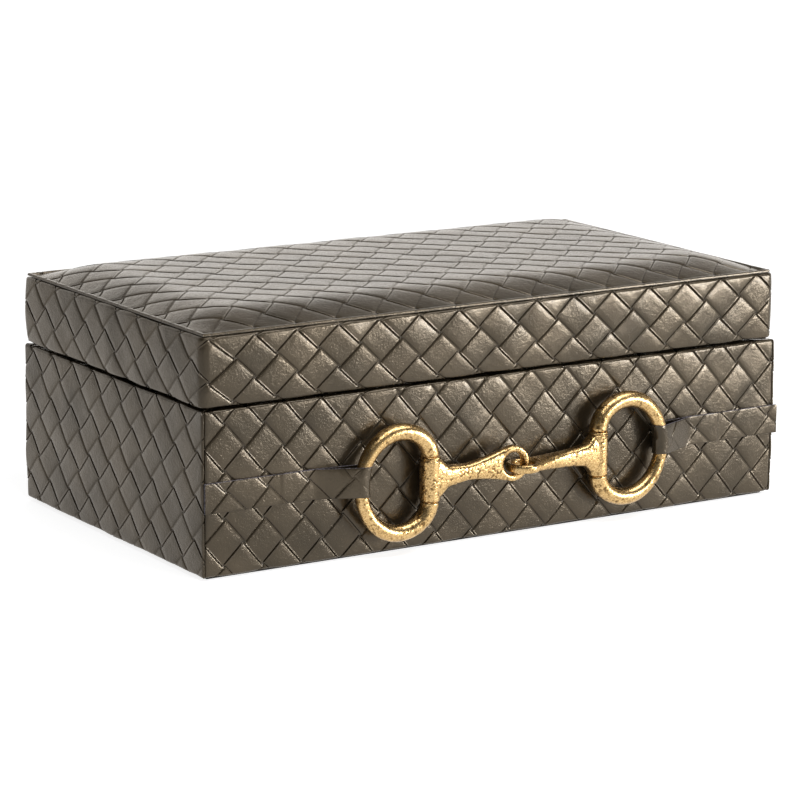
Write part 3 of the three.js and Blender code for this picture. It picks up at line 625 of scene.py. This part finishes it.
section = lid_section()
table, folds, strip_low = section[:3]
strip_high = strip_low + table[0][-1]
corner_folds = [side * (start + lid_turn * i / arc_folds) for side in (-1, 1)
                for start in (lid_long, lid_side_middle + lid_short) for i in range(arc_folds + 1)]
corner_folds += [side * (2 * lid_side_middle - hinge_middle) + lid_centre_x + edge
                 for side in (-1, 1) for edge in leaf_seat_edges]
corner_folds.sort()
flat_ends = np.interp((-lid_strip_end, lid_strip_end), lid_pitch_real, lid_pitch_flat)
wall_cover = woven_sheet("woven_lid_wall_cover", lid_weave, flat_ends, (strip_low, strip_high),
                         np.interp(corner_folds, lid_pitch_real, lid_pitch_flat), folds + strip_low)
top_count = wrap(wall_cover, section, lid_half_length, lid_half_depth, lid_corner_radius,
                 (lid_rim + leaf_seat_depth, np.maximum), seed=20, centre_x=lid_centre_x,
                 pitch=(lid_pitch_flat, lid_pitch_real))
thin_back(wall_cover, top_count, share_kept=0.65)
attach(wall_cover, "lid")
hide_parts("lid_wall_cover")


# The padded top: woven leatherette drawn over a foam pad and glued to the top board. Its edge is pressed
# down to a narrow flat lip with a crease behind it, from which the pad swells to a level middle.
cover_low, cover_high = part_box("lid_top_cover")
cover_half_x = (cover_high.x - cover_low.x) / 2
cover_half_y = (cover_high.y - cover_low.y) / 2
pad_seat = lid_wall_top + glue_line
pad_top = cover_high.z
seam_height = pad_seat + 0.15 * MM
pad_shoulder = 27.6 * MM
pad_shoulder_power = 1.2
lip_width = 1.3 * MM
lip_height = 1.15 * MM
lip_edge_radius = 0.5 * MM
lip_relief_share = 0.35
crease_width = 0.5 * MM
thinnest_skin = 0.1 * MM
top_wander_size = 20 * MM
top_wander_height = 0.3 * MM
edge_folds = (0.1, 0.25, 0.5, 0.9, 1.25, 1.5, 1.8, 2.2, 3.0)
top_weave = ((-2.1, 40.2), (10.0, 9.85), (10.0, -9.85))


def pad_shape(x, y):
    """How high the pad's skin stands at a place, measured from the lid's middle."""
    rise = np.ones_like(x)
    for place, half in ((x, cover_half_x), (y, cover_half_y)):
        share = np.clip((half - np.abs(place)) / pad_shoulder, 0, 1)
        rise = rise * (1 - (1 - share) ** 2) ** pad_shoulder_power
    return seam_height + (pad_top - seam_height) * rise


def lip_shape(x, y):
    """How high the pressed edge stands, down to the pad's seat past its crease, and each place's distance
    from the edge."""
    edge = np.minimum(cover_half_x - np.abs(x), cover_half_y - np.abs(y))
    drop = lip_edge_radius - np.sqrt(np.maximum(
        lip_edge_radius ** 2 - np.clip(lip_edge_radius - edge, 0, None) ** 2, 0))
    fall = np.clip((edge - lip_width) / crease_width, 0, 1)
    return pad_seat + (lip_height - drop) * (1 - fall * fall * (3 - 2 * fall)), edge


folds_x = [side * (cover_half_x - d * MM) for side in (-1, 1) for d in edge_folds]
folds_y = [side * (cover_half_y - d * MM) for side in (-1, 1) for d in edge_folds]
weave_here = ((top_weave[0][0] - lid_centre_x / MM, top_weave[0][1]), top_weave[1], top_weave[2])
top_cover = woven_sheet("woven_lid_top_cover", weave_here, (-cover_half_x, cover_half_x),
                        (-cover_half_y, cover_half_y), folds_x, folds_y)
places, top_count = thicken(top_cover)
flat_x, flat_y, depth = places.T.copy()
painted_shade = groove_depths(depth, top_count)
pad, (lip, edge) = pad_shape(flat_x, flat_y), lip_shape(flat_x, flat_y)
on_lip = np.clip(edge / (2 * lip_width), lip_relief_share, 1)
upper = np.maximum(pad, lip) + depth * on_lip
upper[:top_count] += (unevenness(places[:top_count], top_wander_size, top_wander_height, seed=9)
                      * on_lip[:top_count])
lower = np.maximum(pad_seat, pad - leather)
height = np.where(np.arange(len(places)) < top_count, np.maximum(upper, lower + thinnest_skin), lower)
set_places(top_cover, np.stack([flat_x + lid_centre_x, flat_y, height], 1), painted_shade)
top_cover.data.materials.append(embossed_leather)
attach(top_cover, "lid")
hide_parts("lid_top_cover")


# The pad under the top cover: a sheet of polyether foam, cut to the pad's shape and laid on the top board.
# It is matt and cream, pitted by open cells that are drawn larger than real.
pad_low, pad_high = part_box("lid_pad")
foam_edge = 0.2 * MM
foam_clearance = 0.02 * MM
foam_finish, tree, shader = new_finish("cut_polyether_foam", Roughness=0.95)
place = add_node(tree, "TexCoord")
cells = add_node(tree, "TexVoronoi", {"Vector": place.outputs["Object"], "Scale": 1 / (0.9 * MM)})
cell_tone = add_node(tree, "ValToRGB", {"Fac": cells.outputs["Distance"]})
cell_tone.color_ramp.elements[0].color = linear("#d3c8a8")
cell_tone.color_ramp.elements[1].color = linear("#eae2ca")
tree.links.new(cell_tone.outputs["Color"], shader.inputs["Base Color"])
pitted = add_node(tree, "Bump", {"Height": cells.outputs["Distance"], "Strength": 0.6, "Distance": 0.3 * MM})
tree.links.new(pitted.outputs["Normal"], shader.inputs["Normal"])
bpy.ops.object.select_all(action="DESELECT")
bpy.ops.mesh.primitive_grid_add(x_subdivisions=60, y_subdivisions=36, size=1)
foam = bpy.context.object
foam.name = "foam_pad"
select_only(foam)
apply_modifier(foam, "SOLIDIFY", thickness=1, offset=-1)
places = points_of(foam)
foam_x = places[:, 0] * (pad_high.x - pad_low.x)
foam_y = places[:, 1] * (pad_high.y - pad_low.y)
foam_top = np.maximum(pad_shape(foam_x, foam_y) - leather - glue_line, pad_seat + foam_edge)
foam_z = np.where(places[:, 2] > -0.5, foam_top, pad_seat + foam_clearance)
set_places(foam, np.stack([foam_x + lid_centre_x, foam_y, foam_z], 1))
foam.data.materials.append(foam_finish)
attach(foam, "lid")
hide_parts("lid_pad")


# The lining: suede panels of grey brown microfibre, cut to size and glued to the boards and over the
# leather's turned edges, one to the floor, one under the lid's top and one to each wall.
# Microfibre suede: matt, with a soft sheen at a low angle, and clouded where its nap was brushed over. Its
# fibres are drawn coarser than they are.
suede, tree, shader = new_finish("microfibre_suede", Roughness=0.95, Sheen_Weight=0.5, Sheen_Roughness=0.5,
                                 Sheen_Tint=linear("#cdbfae"))
place = add_node(tree, "TexCoord")
brushed = add_node(tree, "TexNoise", {"Vector": place.outputs["Object"], "Scale": 1 / (22 * MM), "Detail": 3})
nap = add_node(tree, "TexNoise", {"Vector": place.outputs["Object"], "Scale": 1 / (0.7 * MM), "Detail": 3})
mottle = add_node(tree, "Math", {0: brushed.outputs["Fac"], 1: nap.outputs["Fac"]}, operation="ADD")
half_mottle = add_node(tree, "Math", {0: mottle.outputs["Value"], 1: 0.5}, operation="MULTIPLY")
nap_tone = add_node(tree, "ValToRGB", {"Fac": half_mottle.outputs["Value"]})
nap_tone.color_ramp.elements[0].position = 0.35
nap_tone.color_ramp.elements[0].color = linear("#4a4038")
nap_tone.color_ramp.elements[1].position = 0.65
nap_tone.color_ramp.elements[1].color = linear("#6d6155")
tree.links.new(nap_tone.outputs["Color"], shader.inputs["Base Color"])
nap_bump = add_node(tree, "Bump", {"Height": nap.outputs["Fac"], "Strength": 0.4, "Distance": 0.15 * MM})
tree.links.new(nap_bump.outputs["Normal"], shader.inputs["Normal"])
panel_cell = 6 * MM
panel_edge = 0.3 * MM
panel_wander_size = 11 * MM
panel_wander_height = 0.1 * MM


def soft_panel(node_name, piece_name, material, wander=panel_wander_height):
    """A panel of cloth as large as its node: a grid turned to face its wall, given its thickness, its
    edges rounded and its face left a little uneven."""
    low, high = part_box(node_name)
    size, middle = high - low, (low + high) / 2
    thin = min(range(3), key=lambda axis: size[axis])
    turned = ((0, quarter, 0), (quarter, 0, 0), (0, 0, 0))[thin]
    wide, tall = ((size.z, size.y), (size.x, size.z), (size.x, size.y))[thin]
    bpy.ops.object.select_all(action="DESELECT")
    bpy.ops.mesh.primitive_grid_add(x_subdivisions=max(2, round(wide / panel_cell)),
                                    y_subdivisions=max(2, round(tall / panel_cell)), size=1)
    panel = bpy.context.object
    panel.name = piece_name
    panel.scale = (wide, tall, 1)
    bpy.ops.object.transform_apply(scale=True)
    panel.rotation_euler = turned
    panel.location = middle
    bpy.ops.object.transform_apply(location=True, rotation=True)
    apply_modifier(panel, "SOLIDIFY", thickness=size[thin], offset=0)
    apply_modifier(panel, "BEVEL", width=panel_edge, segments=3, limit_method="ANGLE")
    for vertex in panel.data.vertices:
        wave = noise.noise(vertex.co / panel_wander_size) * wander
        vertex.co[thin] += wave if abs(vertex.co[thin] - middle[thin]) > size[thin] / 2 - panel_edge else 0
    bpy.ops.object.shade_smooth_by_angle(angle=math.radians(50))
    panel.data.materials.append(material)
    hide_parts(node_name)
    return panel


for body in ("base", "lid"):
    for side in ("front", "rear", "left", "right", "floor" if body == "base" else "top"):
        panel = soft_panel(f"{body}_{side}_lining", f"suede_{body}_{side}_lining", suede)
        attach(panel, body)


# The felt under the base: pressed wool felt, cut a little smaller than the base and glued to it. It is
# black, dull and fuzzy, with its fibres drawn coarser than they are.
felt_finish, tree, shader = new_finish("pressed_wool_felt", Roughness=1.0)
place = add_node(tree, "TexCoord")
wool = add_node(tree, "TexNoise", {"Vector": place.outputs["Object"], "Scale": 1 / (0.6 * MM), "Detail": 5})
wool_tone = add_node(tree, "ValToRGB", {"Fac": wool.outputs["Fac"]})
wool_tone.color_ramp.elements[0].color = linear("#1c1a18")
wool_tone.color_ramp.elements[1].color = linear("#3a3632")
tree.links.new(wool_tone.outputs["Color"], shader.inputs["Base Color"])
wool_bump = add_node(tree, "Bump", {"Height": wool.outputs["Fac"], "Strength": 0.7, "Distance": 0.2 * MM})
tree.links.new(wool_bump.outputs["Normal"], shader.inputs["Normal"])
felt = soft_panel("base_felt", "felt_under_base", felt_finish, wander=0)
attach(felt, "base")


# The hinges: two small butt hinges of satin brass, each of two leaves, a pin and four slotted screws, sunk
# in the leather of the rear rims. Their shapes come from the frame as they are. Drawn lengthwise and
# brushed, the brass shines softly, with fine streaks.
satin_brass, tree, shader = new_finish("satin_brass", Metallic=1.0, Roughness=0.32)
place = add_node(tree, "TexCoord")
drawn = add_node(tree, "Mapping", {"Vector": place.outputs["Object"], "Scale": (40, 1, 1)})
wear = add_node(tree, "TexNoise", {"Vector": drawn.outputs["Vector"], "Scale": 1 / (6 * MM), "Detail": 4})
brass_tone = add_node(tree, "ValToRGB", {"Fac": wear.outputs["Fac"]})
brass_tone.color_ramp.elements[0].color = linear("#a58a5a")
brass_tone.color_ramp.elements[1].color = linear("#c8ad78")
tree.links.new(brass_tone.outputs["Color"], shader.inputs["Base Color"])
for node_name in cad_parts:
    if "_hinge_" in node_name:
        refinish(node_name, satin_brass)


# The rings of the bit: cast brass wire bent to a D, slim in the strap and the barrel and thick at the top
# and bottom, with a shoulder at each end of the barrel. The casting's grain is left and rubbed bright.
bit_centre_x = 2 * MM
bit_height = 33.3 * MM
bit_y = -base_half_depth - 6.8 * MM
ring_outer_span = 79 * MM
ring_top_span = 59.8 * MM
barrel_span = 44.2 * MM
ring_half_height = 22.2 * MM
ring_shoulder = 13 * MM
wire_at_strap = 2.95 * MM
wire_at_top = 3.75 * MM
wire_at_shoulder = 4.15 * MM
wire_in_barrel = 3.0 * MM
barrel_radius = 4.5 * MM
barrel_half = 9.9 * MM
left_ring_drop = 0.6 * MM
right_ring_rise = 0.4 * MM
shoulder_start = 0.1 * MM
shoulder_round = 0.45 * MM
line_samples = 400
ring_segments = 520
wire_segments = 84
torus_wire = 0.25
grain_depth = 0.075 * MM
fine_grain = 0.95 * MM
coarse_grain = 2.2 * MM
grain_patch = 7 * MM


def cast_grain(piece):
    """Raises and pits a casting by its grain, and notes for its material how deep each place lies."""
    points = points_of(piece)
    normals = np.zeros(points.size)
    piece.data.vertices.foreach_get("normal", normals)
    fine, coarse, patch = (np.array([noise.noise(Vector(p) / size) for p in points])
                           for size in (fine_grain, coarse_grain, grain_patch))
    roughest = np.clip(0.75 + 1.1 * patch, 0.25, 1.5)
    height = roughest * (fine + 0.35 * coarse) + 0.3 * coarse
    pits = piece.data.attributes.new("pits", "FLOAT", "POINT")
    pits.data.foreach_set("value", np.clip(-height, 0, 1).astype(np.float32))
    move_points(piece, points + normals.reshape(-1, 3) * (grain_depth * height)[:, None])
    select_only(piece)
    bpy.ops.object.shade_smooth()


def ring_line(barrel_drop):
    """The ring's centre line round its own plane, at even steps, with the wire's radius at each. The barrel
    that it passes through sits a little below the ring's middle."""
    outer, inner = ring_outer_span - ring_top_span, ring_top_span - barrel_span
    straight = ring_half_height - ring_shoulder
    back = np.linspace(quarter, 3 * quarter, line_samples)
    turn_up = np.linspace(-quarter, 0, line_samples // 2)
    run = np.linspace(-straight, straight, line_samples // 2)[1:-1]
    x = np.concatenate([outer * np.cos(back), inner * np.cos(turn_up)[1:], np.full(len(run), inner),
                        inner * np.cos(-turn_up[::-1])])
    z = np.concatenate([ring_half_height * np.sin(back), ring_shoulder * np.sin(turn_up)[1:] - straight,
                        run, ring_shoulder * np.sin(-turn_up[::-1]) + straight])
    travelled = np.concatenate([[0], np.cumsum(np.hypot(np.diff(x), np.diff(z)))])
    even = np.linspace(0, travelled[-1], ring_segments, endpoint=False)
    x, z = np.interp(even, travelled, x), np.interp(even, travelled, z)
    high = np.abs(z)
    outside = wire_at_strap + (wire_at_top - wire_at_strap) * (high / ring_half_height) ** 2
    high = np.abs(z + barrel_drop)
    to_barrel = np.clip((ring_half_height - high) / (ring_half_height - barrel_half), 0, 1)
    inside = wire_at_top + (wire_at_shoulder - wire_at_top) * to_barrel
    shoulder_share = np.clip((high - barrel_half - shoulder_start) / shoulder_round, 0, 1)
    swell = np.sqrt(1 - (1 - shoulder_share) ** 2)
    inside = wire_in_barrel + (inside - wire_in_barrel) * swell
    return x, z, np.where(x < 0, outside, inside)


def bit_ring(name, side, rise, barrel_drop):
    """A ring, from a torus whose points are moved to the D's line and the wire's thickness."""
    bpy.ops.object.select_all(action="DESELECT")
    bpy.ops.mesh.primitive_torus_add(major_segments=ring_segments, minor_segments=wire_segments,
                                     major_radius=1, minor_radius=torus_wire)
    made = bpy.context.object
    made.name = name
    points = points_of(made)
    around = np.arctan2(points[:, 1], points[:, 0])
    step = np.round(around / (4 * quarter) * ring_segments).astype(int) % ring_segments
    out = (np.hypot(points[:, 0], points[:, 1]) - 1) / torus_wire
    over = points[:, 2] / torus_wire
    x, z, radius = ring_line(barrel_drop)
    run_x, run_z = np.roll(x, -1) - np.roll(x, 1), np.roll(z, -1) - np.roll(z, 1)
    length = np.hypot(run_x, run_z)
    run_x, run_z = run_x / length, run_z / length
    away = radius[step] * out
    local = np.stack([x[step] + run_z[step] * away, -radius[step] * over, z[step] - run_x[step] * away], 1)
    local[:, :2] *= side
    local += np.array([bit_centre_x - side * ring_top_span, bit_y, bit_height + rise])
    move_points(made, local)
    select_only(made)
    bpy.ops.object.mode_set(mode="EDIT")
    bpy.ops.mesh.select_all(action="SELECT")
    bpy.ops.mesh.normals_make_consistent(inside=False)
    bpy.ops.object.mode_set(mode="OBJECT")
    cast_grain(made)
    return made


# Sand cast brass, rubbed by hand: bright and sandy on its high places, brown with tarnish in its pits.
cast_brass, tree, shader = new_finish("rubbed_cast_brass", Metallic=1.0)
place = add_node(tree, "TexCoord")
pits = add_node(tree, "Attribute", attribute_name="pits")
grain = add_node(tree, "TexNoise", {"Vector": place.outputs["Object"], "Scale": 1 / (0.7 * MM), "Detail": 3,
                                    "Roughness": 0.6})
rubbed = add_node(tree, "ValToRGB", {"Fac": grain.outputs["Fac"]})
rubbed.color_ramp.elements[0].position = 0.3
rubbed.color_ramp.elements[0].color = linear("#957443")
rubbed.color_ramp.elements[1].position = 0.6
rubbed.color_ramp.elements[1].color = linear("#d8b781")
in_pits = add_node(tree, "MapRange", {"Value": pits.outputs["Fac"], "From Min": 0.08, "From Max": 0.55,
                                      "To Min": 0.0, "To Max": 0.8})
tarnished = add_node(tree, "Mix", {"Factor": in_pits.outputs["Result"], "A": rubbed.outputs["Color"],
                                   "B": linear("#4c3213")}, data_type="RGBA")
tree.links.new(tarnished.outputs["Result"], shader.inputs["Base Color"])
polish = add_node(tree, "MapRange", {"Value": grain.outputs["Fac"], "From Min": 0.3, "From Max": 0.7,
                                     "To Min": 0.36, "To Max": 0.2})
tree.links.new(polish.outputs["Result"], shader.inputs["Roughness"])
sand = add_node(tree, "Bump", {"Height": grain.outputs["Fac"], "Strength": 0.8, "Distance": 0.12 * MM})
tree.links.new(sand.outputs["Normal"], shader.inputs["Normal"])

for name, side, rise, barrel_drop in (("left_ring", 1, -left_ring_drop, 0),
                                      ("right_ring", -1, right_ring_rise, right_ring_rise)):
    ring = bit_ring("cast_" + name, side, rise, barrel_drop)
    ring.data.materials.append(cast_brass)
    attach(ring, "ring_left" if side == 1 else "ring_right")
    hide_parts(name)


# The arms of the bit: one casting each. A sleeve turns on the ring's straight side, flares into a flat arm
# and ends in an eye. The left eye stands upright and the right one lies level, and they hold each other.
arm_length = barrel_span - 3 * MM
eye_radius = 8 * MM
eye_hole = 5 * MM
arm_swing = math.radians(2.8)
barrel_bore = wire_in_barrel + 0.35 * MM
root_half_height = 8.9 * MM
shoulder_half_height = 5.2 * MM
waist_half_height = 3.6 * MM
root_half_depth = 4.1 * MM
waist_half_depth = 3.1 * MM
shoulder_fade = (2.5 * MM, 20 * MM)
root_fade = (3.2 * MM, 8.6 * MM)
depth_fade = (0, 20 * MM)
eye_fade_start = 17 * MM
eye_fade_margin = 1.8 * MM
eye_fade_power = 1.5
eye_inset = 0.2 * MM
arm_boxiness = 3.2
eye_boxiness = 3.0
left_eye_half = 2.3 * MM
left_eye_rise = 1.6 * MM
right_eye_half = 1.9 * MM
right_eye_rise = -0.6 * MM
sleeve_edge = 0.5 * MM
collar_inset = 1.4 * MM
collar_depth = 0.5 * MM
collar_spread = 0.28 * MM
collar_reach = 8 * MM
collar_fade = 2 * MM
cutter_length = 30 * MM
arm_voxel = 0.26 * MM


def ease(value, start, end):
    """Rises smoothly from 0 to 1 between two values."""
    share = np.clip((value - start) / (end - start), 0, 1)
    return share * share * (3 - 2 * share)


def boxy(value, power):
    """Fills out a round section's cosine or sine towards a box's."""
    return np.sign(value) * np.abs(value) ** (2 / power)


def arm_body(eye_half, upright, eye_rise):
    """The arm without its sleeve and eye: a sphere drawn out along the arm, with its section boxed."""
    bpy.ops.mesh.primitive_uv_sphere_add(segments=72, ring_count=120, radius=1)
    body = bpy.context.object
    points = points_of(body)
    share = np.arccos(np.clip(points[:, 2], -1, 1)) / (2 * quarter)
    radial = np.maximum(np.hypot(points[:, 0], points[:, 1]), 1e-9)
    inner = (share > 1e-4) & (share < 1 - 1e-4)
    side, up = points[:, 0] / radial * inner, points[:, 1] / radial * inner
    x = arm_length * share
    neck = (waist_half_height + (shoulder_half_height - waist_half_height) * (1 - ease(x, *shoulder_fade))
            + (root_half_height - shoulder_half_height) * (1 - ease(x, *root_fade)))
    waist = waist_half_depth + (root_half_depth - waist_half_depth) * (1 - ease(x, *depth_fade))
    fade_length = arm_length - eye_fade_margin - eye_fade_start
    to_eye = np.clip((x - eye_fade_start) / fade_length, 0, 1) ** eye_fade_power
    wide = eye_radius - eye_inset
    height = neck + ((wide if upright else eye_half) - neck) * to_eye
    depth = waist + ((eye_half if upright else wide) - waist) * to_eye
    rise = eye_rise * ease(x, 0, arm_length)
    move_points(body, np.stack([x, depth * boxy(side, arm_boxiness),
                                rise + height * boxy(up, arm_boxiness)], 1))
    return body


def eye_ring(eye_half, upright, eye_rise):
    """The eye: a torus whose section is boxed to a flat ring with rounded edges."""
    bpy.ops.mesh.primitive_torus_add(major_segments=120, minor_segments=40, major_radius=1,
                                     minor_radius=torus_wire)
    eye = bpy.context.object
    points = points_of(eye)
    around = np.arctan2(points[:, 1], points[:, 0])
    out = (np.hypot(points[:, 0], points[:, 1]) - 1) / torus_wire
    middle, half = (eye_radius + eye_hole) / 2, (eye_radius - eye_hole) / 2
    reach = middle + half * boxy(out, eye_boxiness)
    flat = eye_half * boxy(points[:, 2] / torus_wire, eye_boxiness)
    across, along = reach * np.sin(around), arm_length + reach * np.cos(around)
    stacked = (along, flat, across + eye_rise) if upright else (along, across, flat + eye_rise)
    move_points(eye, np.stack(stacked, 1))
    return eye


def cut_with(piece, cutter):
    """Takes the cutter's shape out of a piece."""
    select_only(piece)
    apply_modifier(piece, "BOOLEAN", operation="DIFFERENCE", solver="EXACT", object=cutter)
    bpy.data.objects.remove(cutter)


def bit_arm(name, upright, eye_half, eye_rise, pivot_x, turned, rise):
    """An arm cast in one with its sleeve and eye: rough bodies run together, smoothed and bored."""
    bpy.ops.object.select_all(action="DESELECT")
    body = arm_body(eye_half, upright, eye_rise)
    eye_turn = (quarter, 0, 0) if upright else (0, 0, 0)
    bpy.ops.mesh.primitive_cylinder_add(vertices=96, radius=(eye_radius + eye_hole) / 2, depth=cutter_length,
                                        location=(arm_length, 0, eye_rise), rotation=eye_turn)
    cut_with(body, bpy.context.object)
    eye = eye_ring(eye_half, upright, eye_rise)
    bpy.ops.mesh.primitive_cylinder_add(vertices=96, radius=barrel_radius, depth=2 * barrel_half)
    sleeve = bpy.context.object
    apply_modifier(sleeve, "BEVEL", width=sleeve_edge, segments=4)
    bpy.ops.object.select_all(action="DESELECT")
    for piece in (body, eye, sleeve):
        piece.select_set(True)
    bpy.context.view_layer.objects.active = body
    bpy.ops.object.join()
    body.name = name
    apply_modifier(body, "REMESH", mode="VOXEL", voxel_size=arm_voxel)
    apply_modifier(body, "SMOOTH", factor=0.5, iterations=10)
    points = points_of(body)
    out = np.hypot(points[:, 0], points[:, 1])
    past_collar = points[:, 2] - (barrel_half - collar_inset)
    pressed = collar_depth * np.exp(-(past_collar / collar_spread) ** 2)
    near = np.clip((collar_reach - out) / collar_fade, 0, 1)
    points[:, :2] *= (1 - pressed * near / np.maximum(out, 1e-6))[:, None]
    move_points(body, points)
    bpy.ops.mesh.primitive_cylinder_add(vertices=64, radius=barrel_bore, depth=cutter_length)
    cut_with(body, bpy.context.object)
    body.rotation_euler = (0, 0, turned)
    body.location = (pivot_x, bit_y, bit_height + rise)
    select_only(body)
    bpy.ops.object.transform_apply(location=True, rotation=True)
    cast_grain(body)
    body.data.materials.append(cast_brass)
    return body


left_arm = bit_arm("cast_left_arm", True, left_eye_half, left_eye_rise + left_ring_drop,
                   bit_centre_x - barrel_span, -arm_swing, -left_ring_drop)
right_arm = bit_arm("cast_right_arm", False, right_eye_half, right_eye_rise,
                    bit_centre_x + barrel_span, 2 * quarter + arm_swing, 0)
for piece, node_name, body in ((left_arm, "left_arm", "arm_left"), (right_arm, "right_arm", "arm_right")):
    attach(piece, body)
    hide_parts(node_name)


# The straps: one strip of woven leatherette each, glued flat to the front cover at the box's corner, led
# round the ring's slim side and back under itself. Its long edges are cut and left raw.
strap_low, strap_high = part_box("left_strap")
strap_foot, strap_head = strap_low.z, strap_high.z
strap_layer = 0.72 * MM
strap_lift = 1.5 * MM
glued_layer = 1.2 * MM
strap_rise = 20 * MM
strap_return = 14 * MM
strap_step = 0.32 * MM
step_angle = 0.25
step_bend = 4 * MM
loop_radius = 3.85 * MM
strap_bend = 7 * MM
front_out = 0.25 * MM
strap_weave_share = 0.75
strap_smooth = 9 * MM
edge_band = 0.5 * MM
edge_press = 0.08 * MM
fray = 0.08 * MM
fray_length = 1.1 * MM
fray_width = 3 * MM
relief_lost = 0.8
groove_shade_lost = 0.6
thinning_start = 10 * MM
thinning_end = 4 * MM
cell_rise = 10

# A cut edge of leatherette: its grey backing cloth shows, dull and with a fuzz drawn coarser than real.
raw_edge_finish, tree, shader = new_finish("raw_cut_edge", Roughness=0.95)
place = add_node(tree, "TexCoord")
fuzz = add_node(tree, "TexNoise", {"Vector": place.outputs["Object"], "Scale": 1 / (0.8 * MM), "Detail": 4})
fuzz_tone = add_node(tree, "ValToRGB", {"Fac": fuzz.outputs["Fac"]})
fuzz_tone.color_ramp.elements[0].position = 0.4
fuzz_tone.color_ramp.elements[0].color = linear("#2b2628")
fuzz_tone.color_ramp.elements[1].position = 0.6
fuzz_tone.color_ramp.elements[1].color = linear("#86808a")
tree.links.new(fuzz_tone.outputs["Color"], shader.inputs["Base Color"])


def strap_section(run_to_loop):
    """The section of a strap: out along the front, over its own end, up to the ring, round its wire and
    back beneath."""
    lift = -base_half_depth - bit_y
    upper_lift = strap_lift + strap_step
    over = math.hypot(strap_rise, lift - upper_lift)
    climb = math.atan2(lift - upper_lift, strap_rise) + math.asin(loop_radius / over)
    under = math.hypot(strap_rise, lift - front_out)
    descent = math.atan2(lift - front_out, strap_rise) - math.asin(loop_radius / under)
    ease_up = strap_bend * math.tan(climb / 2)
    ease_down = strap_bend * math.tan(descent / 2)
    step_run = (strap_step - 2 * step_bend * (1 - math.cos(step_angle))) / math.sin(step_angle)
    step_length = 2 * step_bend * math.sin(step_angle) + step_run * math.cos(step_angle)
    moves = [
        ("run", run_to_loop - strap_rise - ease_up - strap_return - step_length),
        ("turn", -step_bend, step_angle), ("run", step_run), ("turn", step_bend, step_angle),
        ("run", strap_return), ("turn", -strap_bend, climb),
        ("run", math.sqrt(over ** 2 - loop_radius ** 2) - ease_up),
        ("turn", loop_radius, 2 * quarter + climb - descent),
        ("run", math.sqrt(under ** 2 - loop_radius ** 2) - ease_down), ("turn", strap_bend, descent),
        ("run", strap_return),
    ]
    return fold_path((0, strap_lift), 0, moves)


def ring_sag(z):
    """How far the ring's outer side draws in at a height."""
    share = np.clip((z - bit_height) / ring_half_height, -1, 1)
    return (ring_outer_span - ring_top_span) * (1 - np.sqrt(1 - share ** 2))


middle_sag = (ring_sag(strap_head) + ring_sag(bit_height)) / 2
for name, side, end_x, node, step in (
    ("left_strap", 1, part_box("left_strap")[0].x, (-139.3, 37.8), (19.8, 0.2)),
    ("right_strap", -1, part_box("right_strap")[1].x, (145.6, 37.9), (20.6, 0.8)),
):
    to_loop = abs(end_x - bit_centre_x + side * (ring_outer_span - middle_sag))
    table, folds = strap_section(to_loop)
    length = table[0][-1]
    rising = (step[0] / 2, step[1] / 2 + cell_rise)
    falling = (step[0] / 2, step[1] / 2 - cell_rise)
    origin_u = (node[0] - end_x / MM) if side == 1 else (length / MM + node[0] - end_x / MM)
    folds_u = folds if side == 1 else length - folds
    edges_v = [strap_foot + edge_band, strap_head - edge_band]
    strap = woven_sheet("woven_" + name, ((origin_u, node[1]), rising, falling), (0, length),
                        (strap_foot, strap_head), list(folds_u), edges_v)
    strap.data.materials.append(embossed_leather)
    strap.data.materials.append(raw_edge_finish)
    places, top_count = thicken(strap, strap_layer, 1)
    flat_u, flat_z, depth = places.T.copy()
    painted_shade = groove_depths(depth, top_count)
    to_edge = np.minimum(flat_z - strap_foot, strap_head - flat_z)
    at_edge = np.clip(1 - to_edge / edge_band, 0, 1)
    travelled = flat_u if side == 1 else length - flat_u
    past_glue = np.clip((travelled - (to_loop - strap_smooth)) / strap_smooth, 0, 1)
    # Painted shade: a dark band along the strap's long edges stands for the shadow line there, and the
    # grooves' painted shade fades towards the loop.
    painted_shade[:top_count] = np.maximum(painted_shade * (1 - groove_shade_lost * past_glue), at_edge)[:top_count]
    share = strap_weave_share * (1 - relief_lost * past_glue)
    depth[:top_count] = (depth * share - edge_press * at_edge ** 2)[:top_count]
    depth = np.maximum(depth, -strap_layer)
    lap_start = to_loop - strap_rise - strap_return
    glued = 1 - ease(travelled, lap_start - thinning_start, lap_start - thinning_end)
    depth[top_count:] -= ((glued_layer - strap_layer) * glued)[top_count:]
    frayed = np.array([noise.noise(Vector((u / fray_length, z / fray_width, side * 5)))
                       for u, z, _ in places])
    flat_z = flat_z + fray * frayed * at_edge
    run, out, heading = (np.interp(travelled, table[0], row) for row in table[1:])
    run = run - np.sin(heading) * depth
    out = out + np.cos(heading) * depth
    lifted = ease(run, to_loop - strap_rise, to_loop - loop_radius)
    run = run + (ring_sag(flat_z) - middle_sag) * lifted
    set_places(strap, np.stack([end_x + side * run, -base_half_depth - out, flat_z], 1), painted_shade)
    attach(strap, "base")
    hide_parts(name)
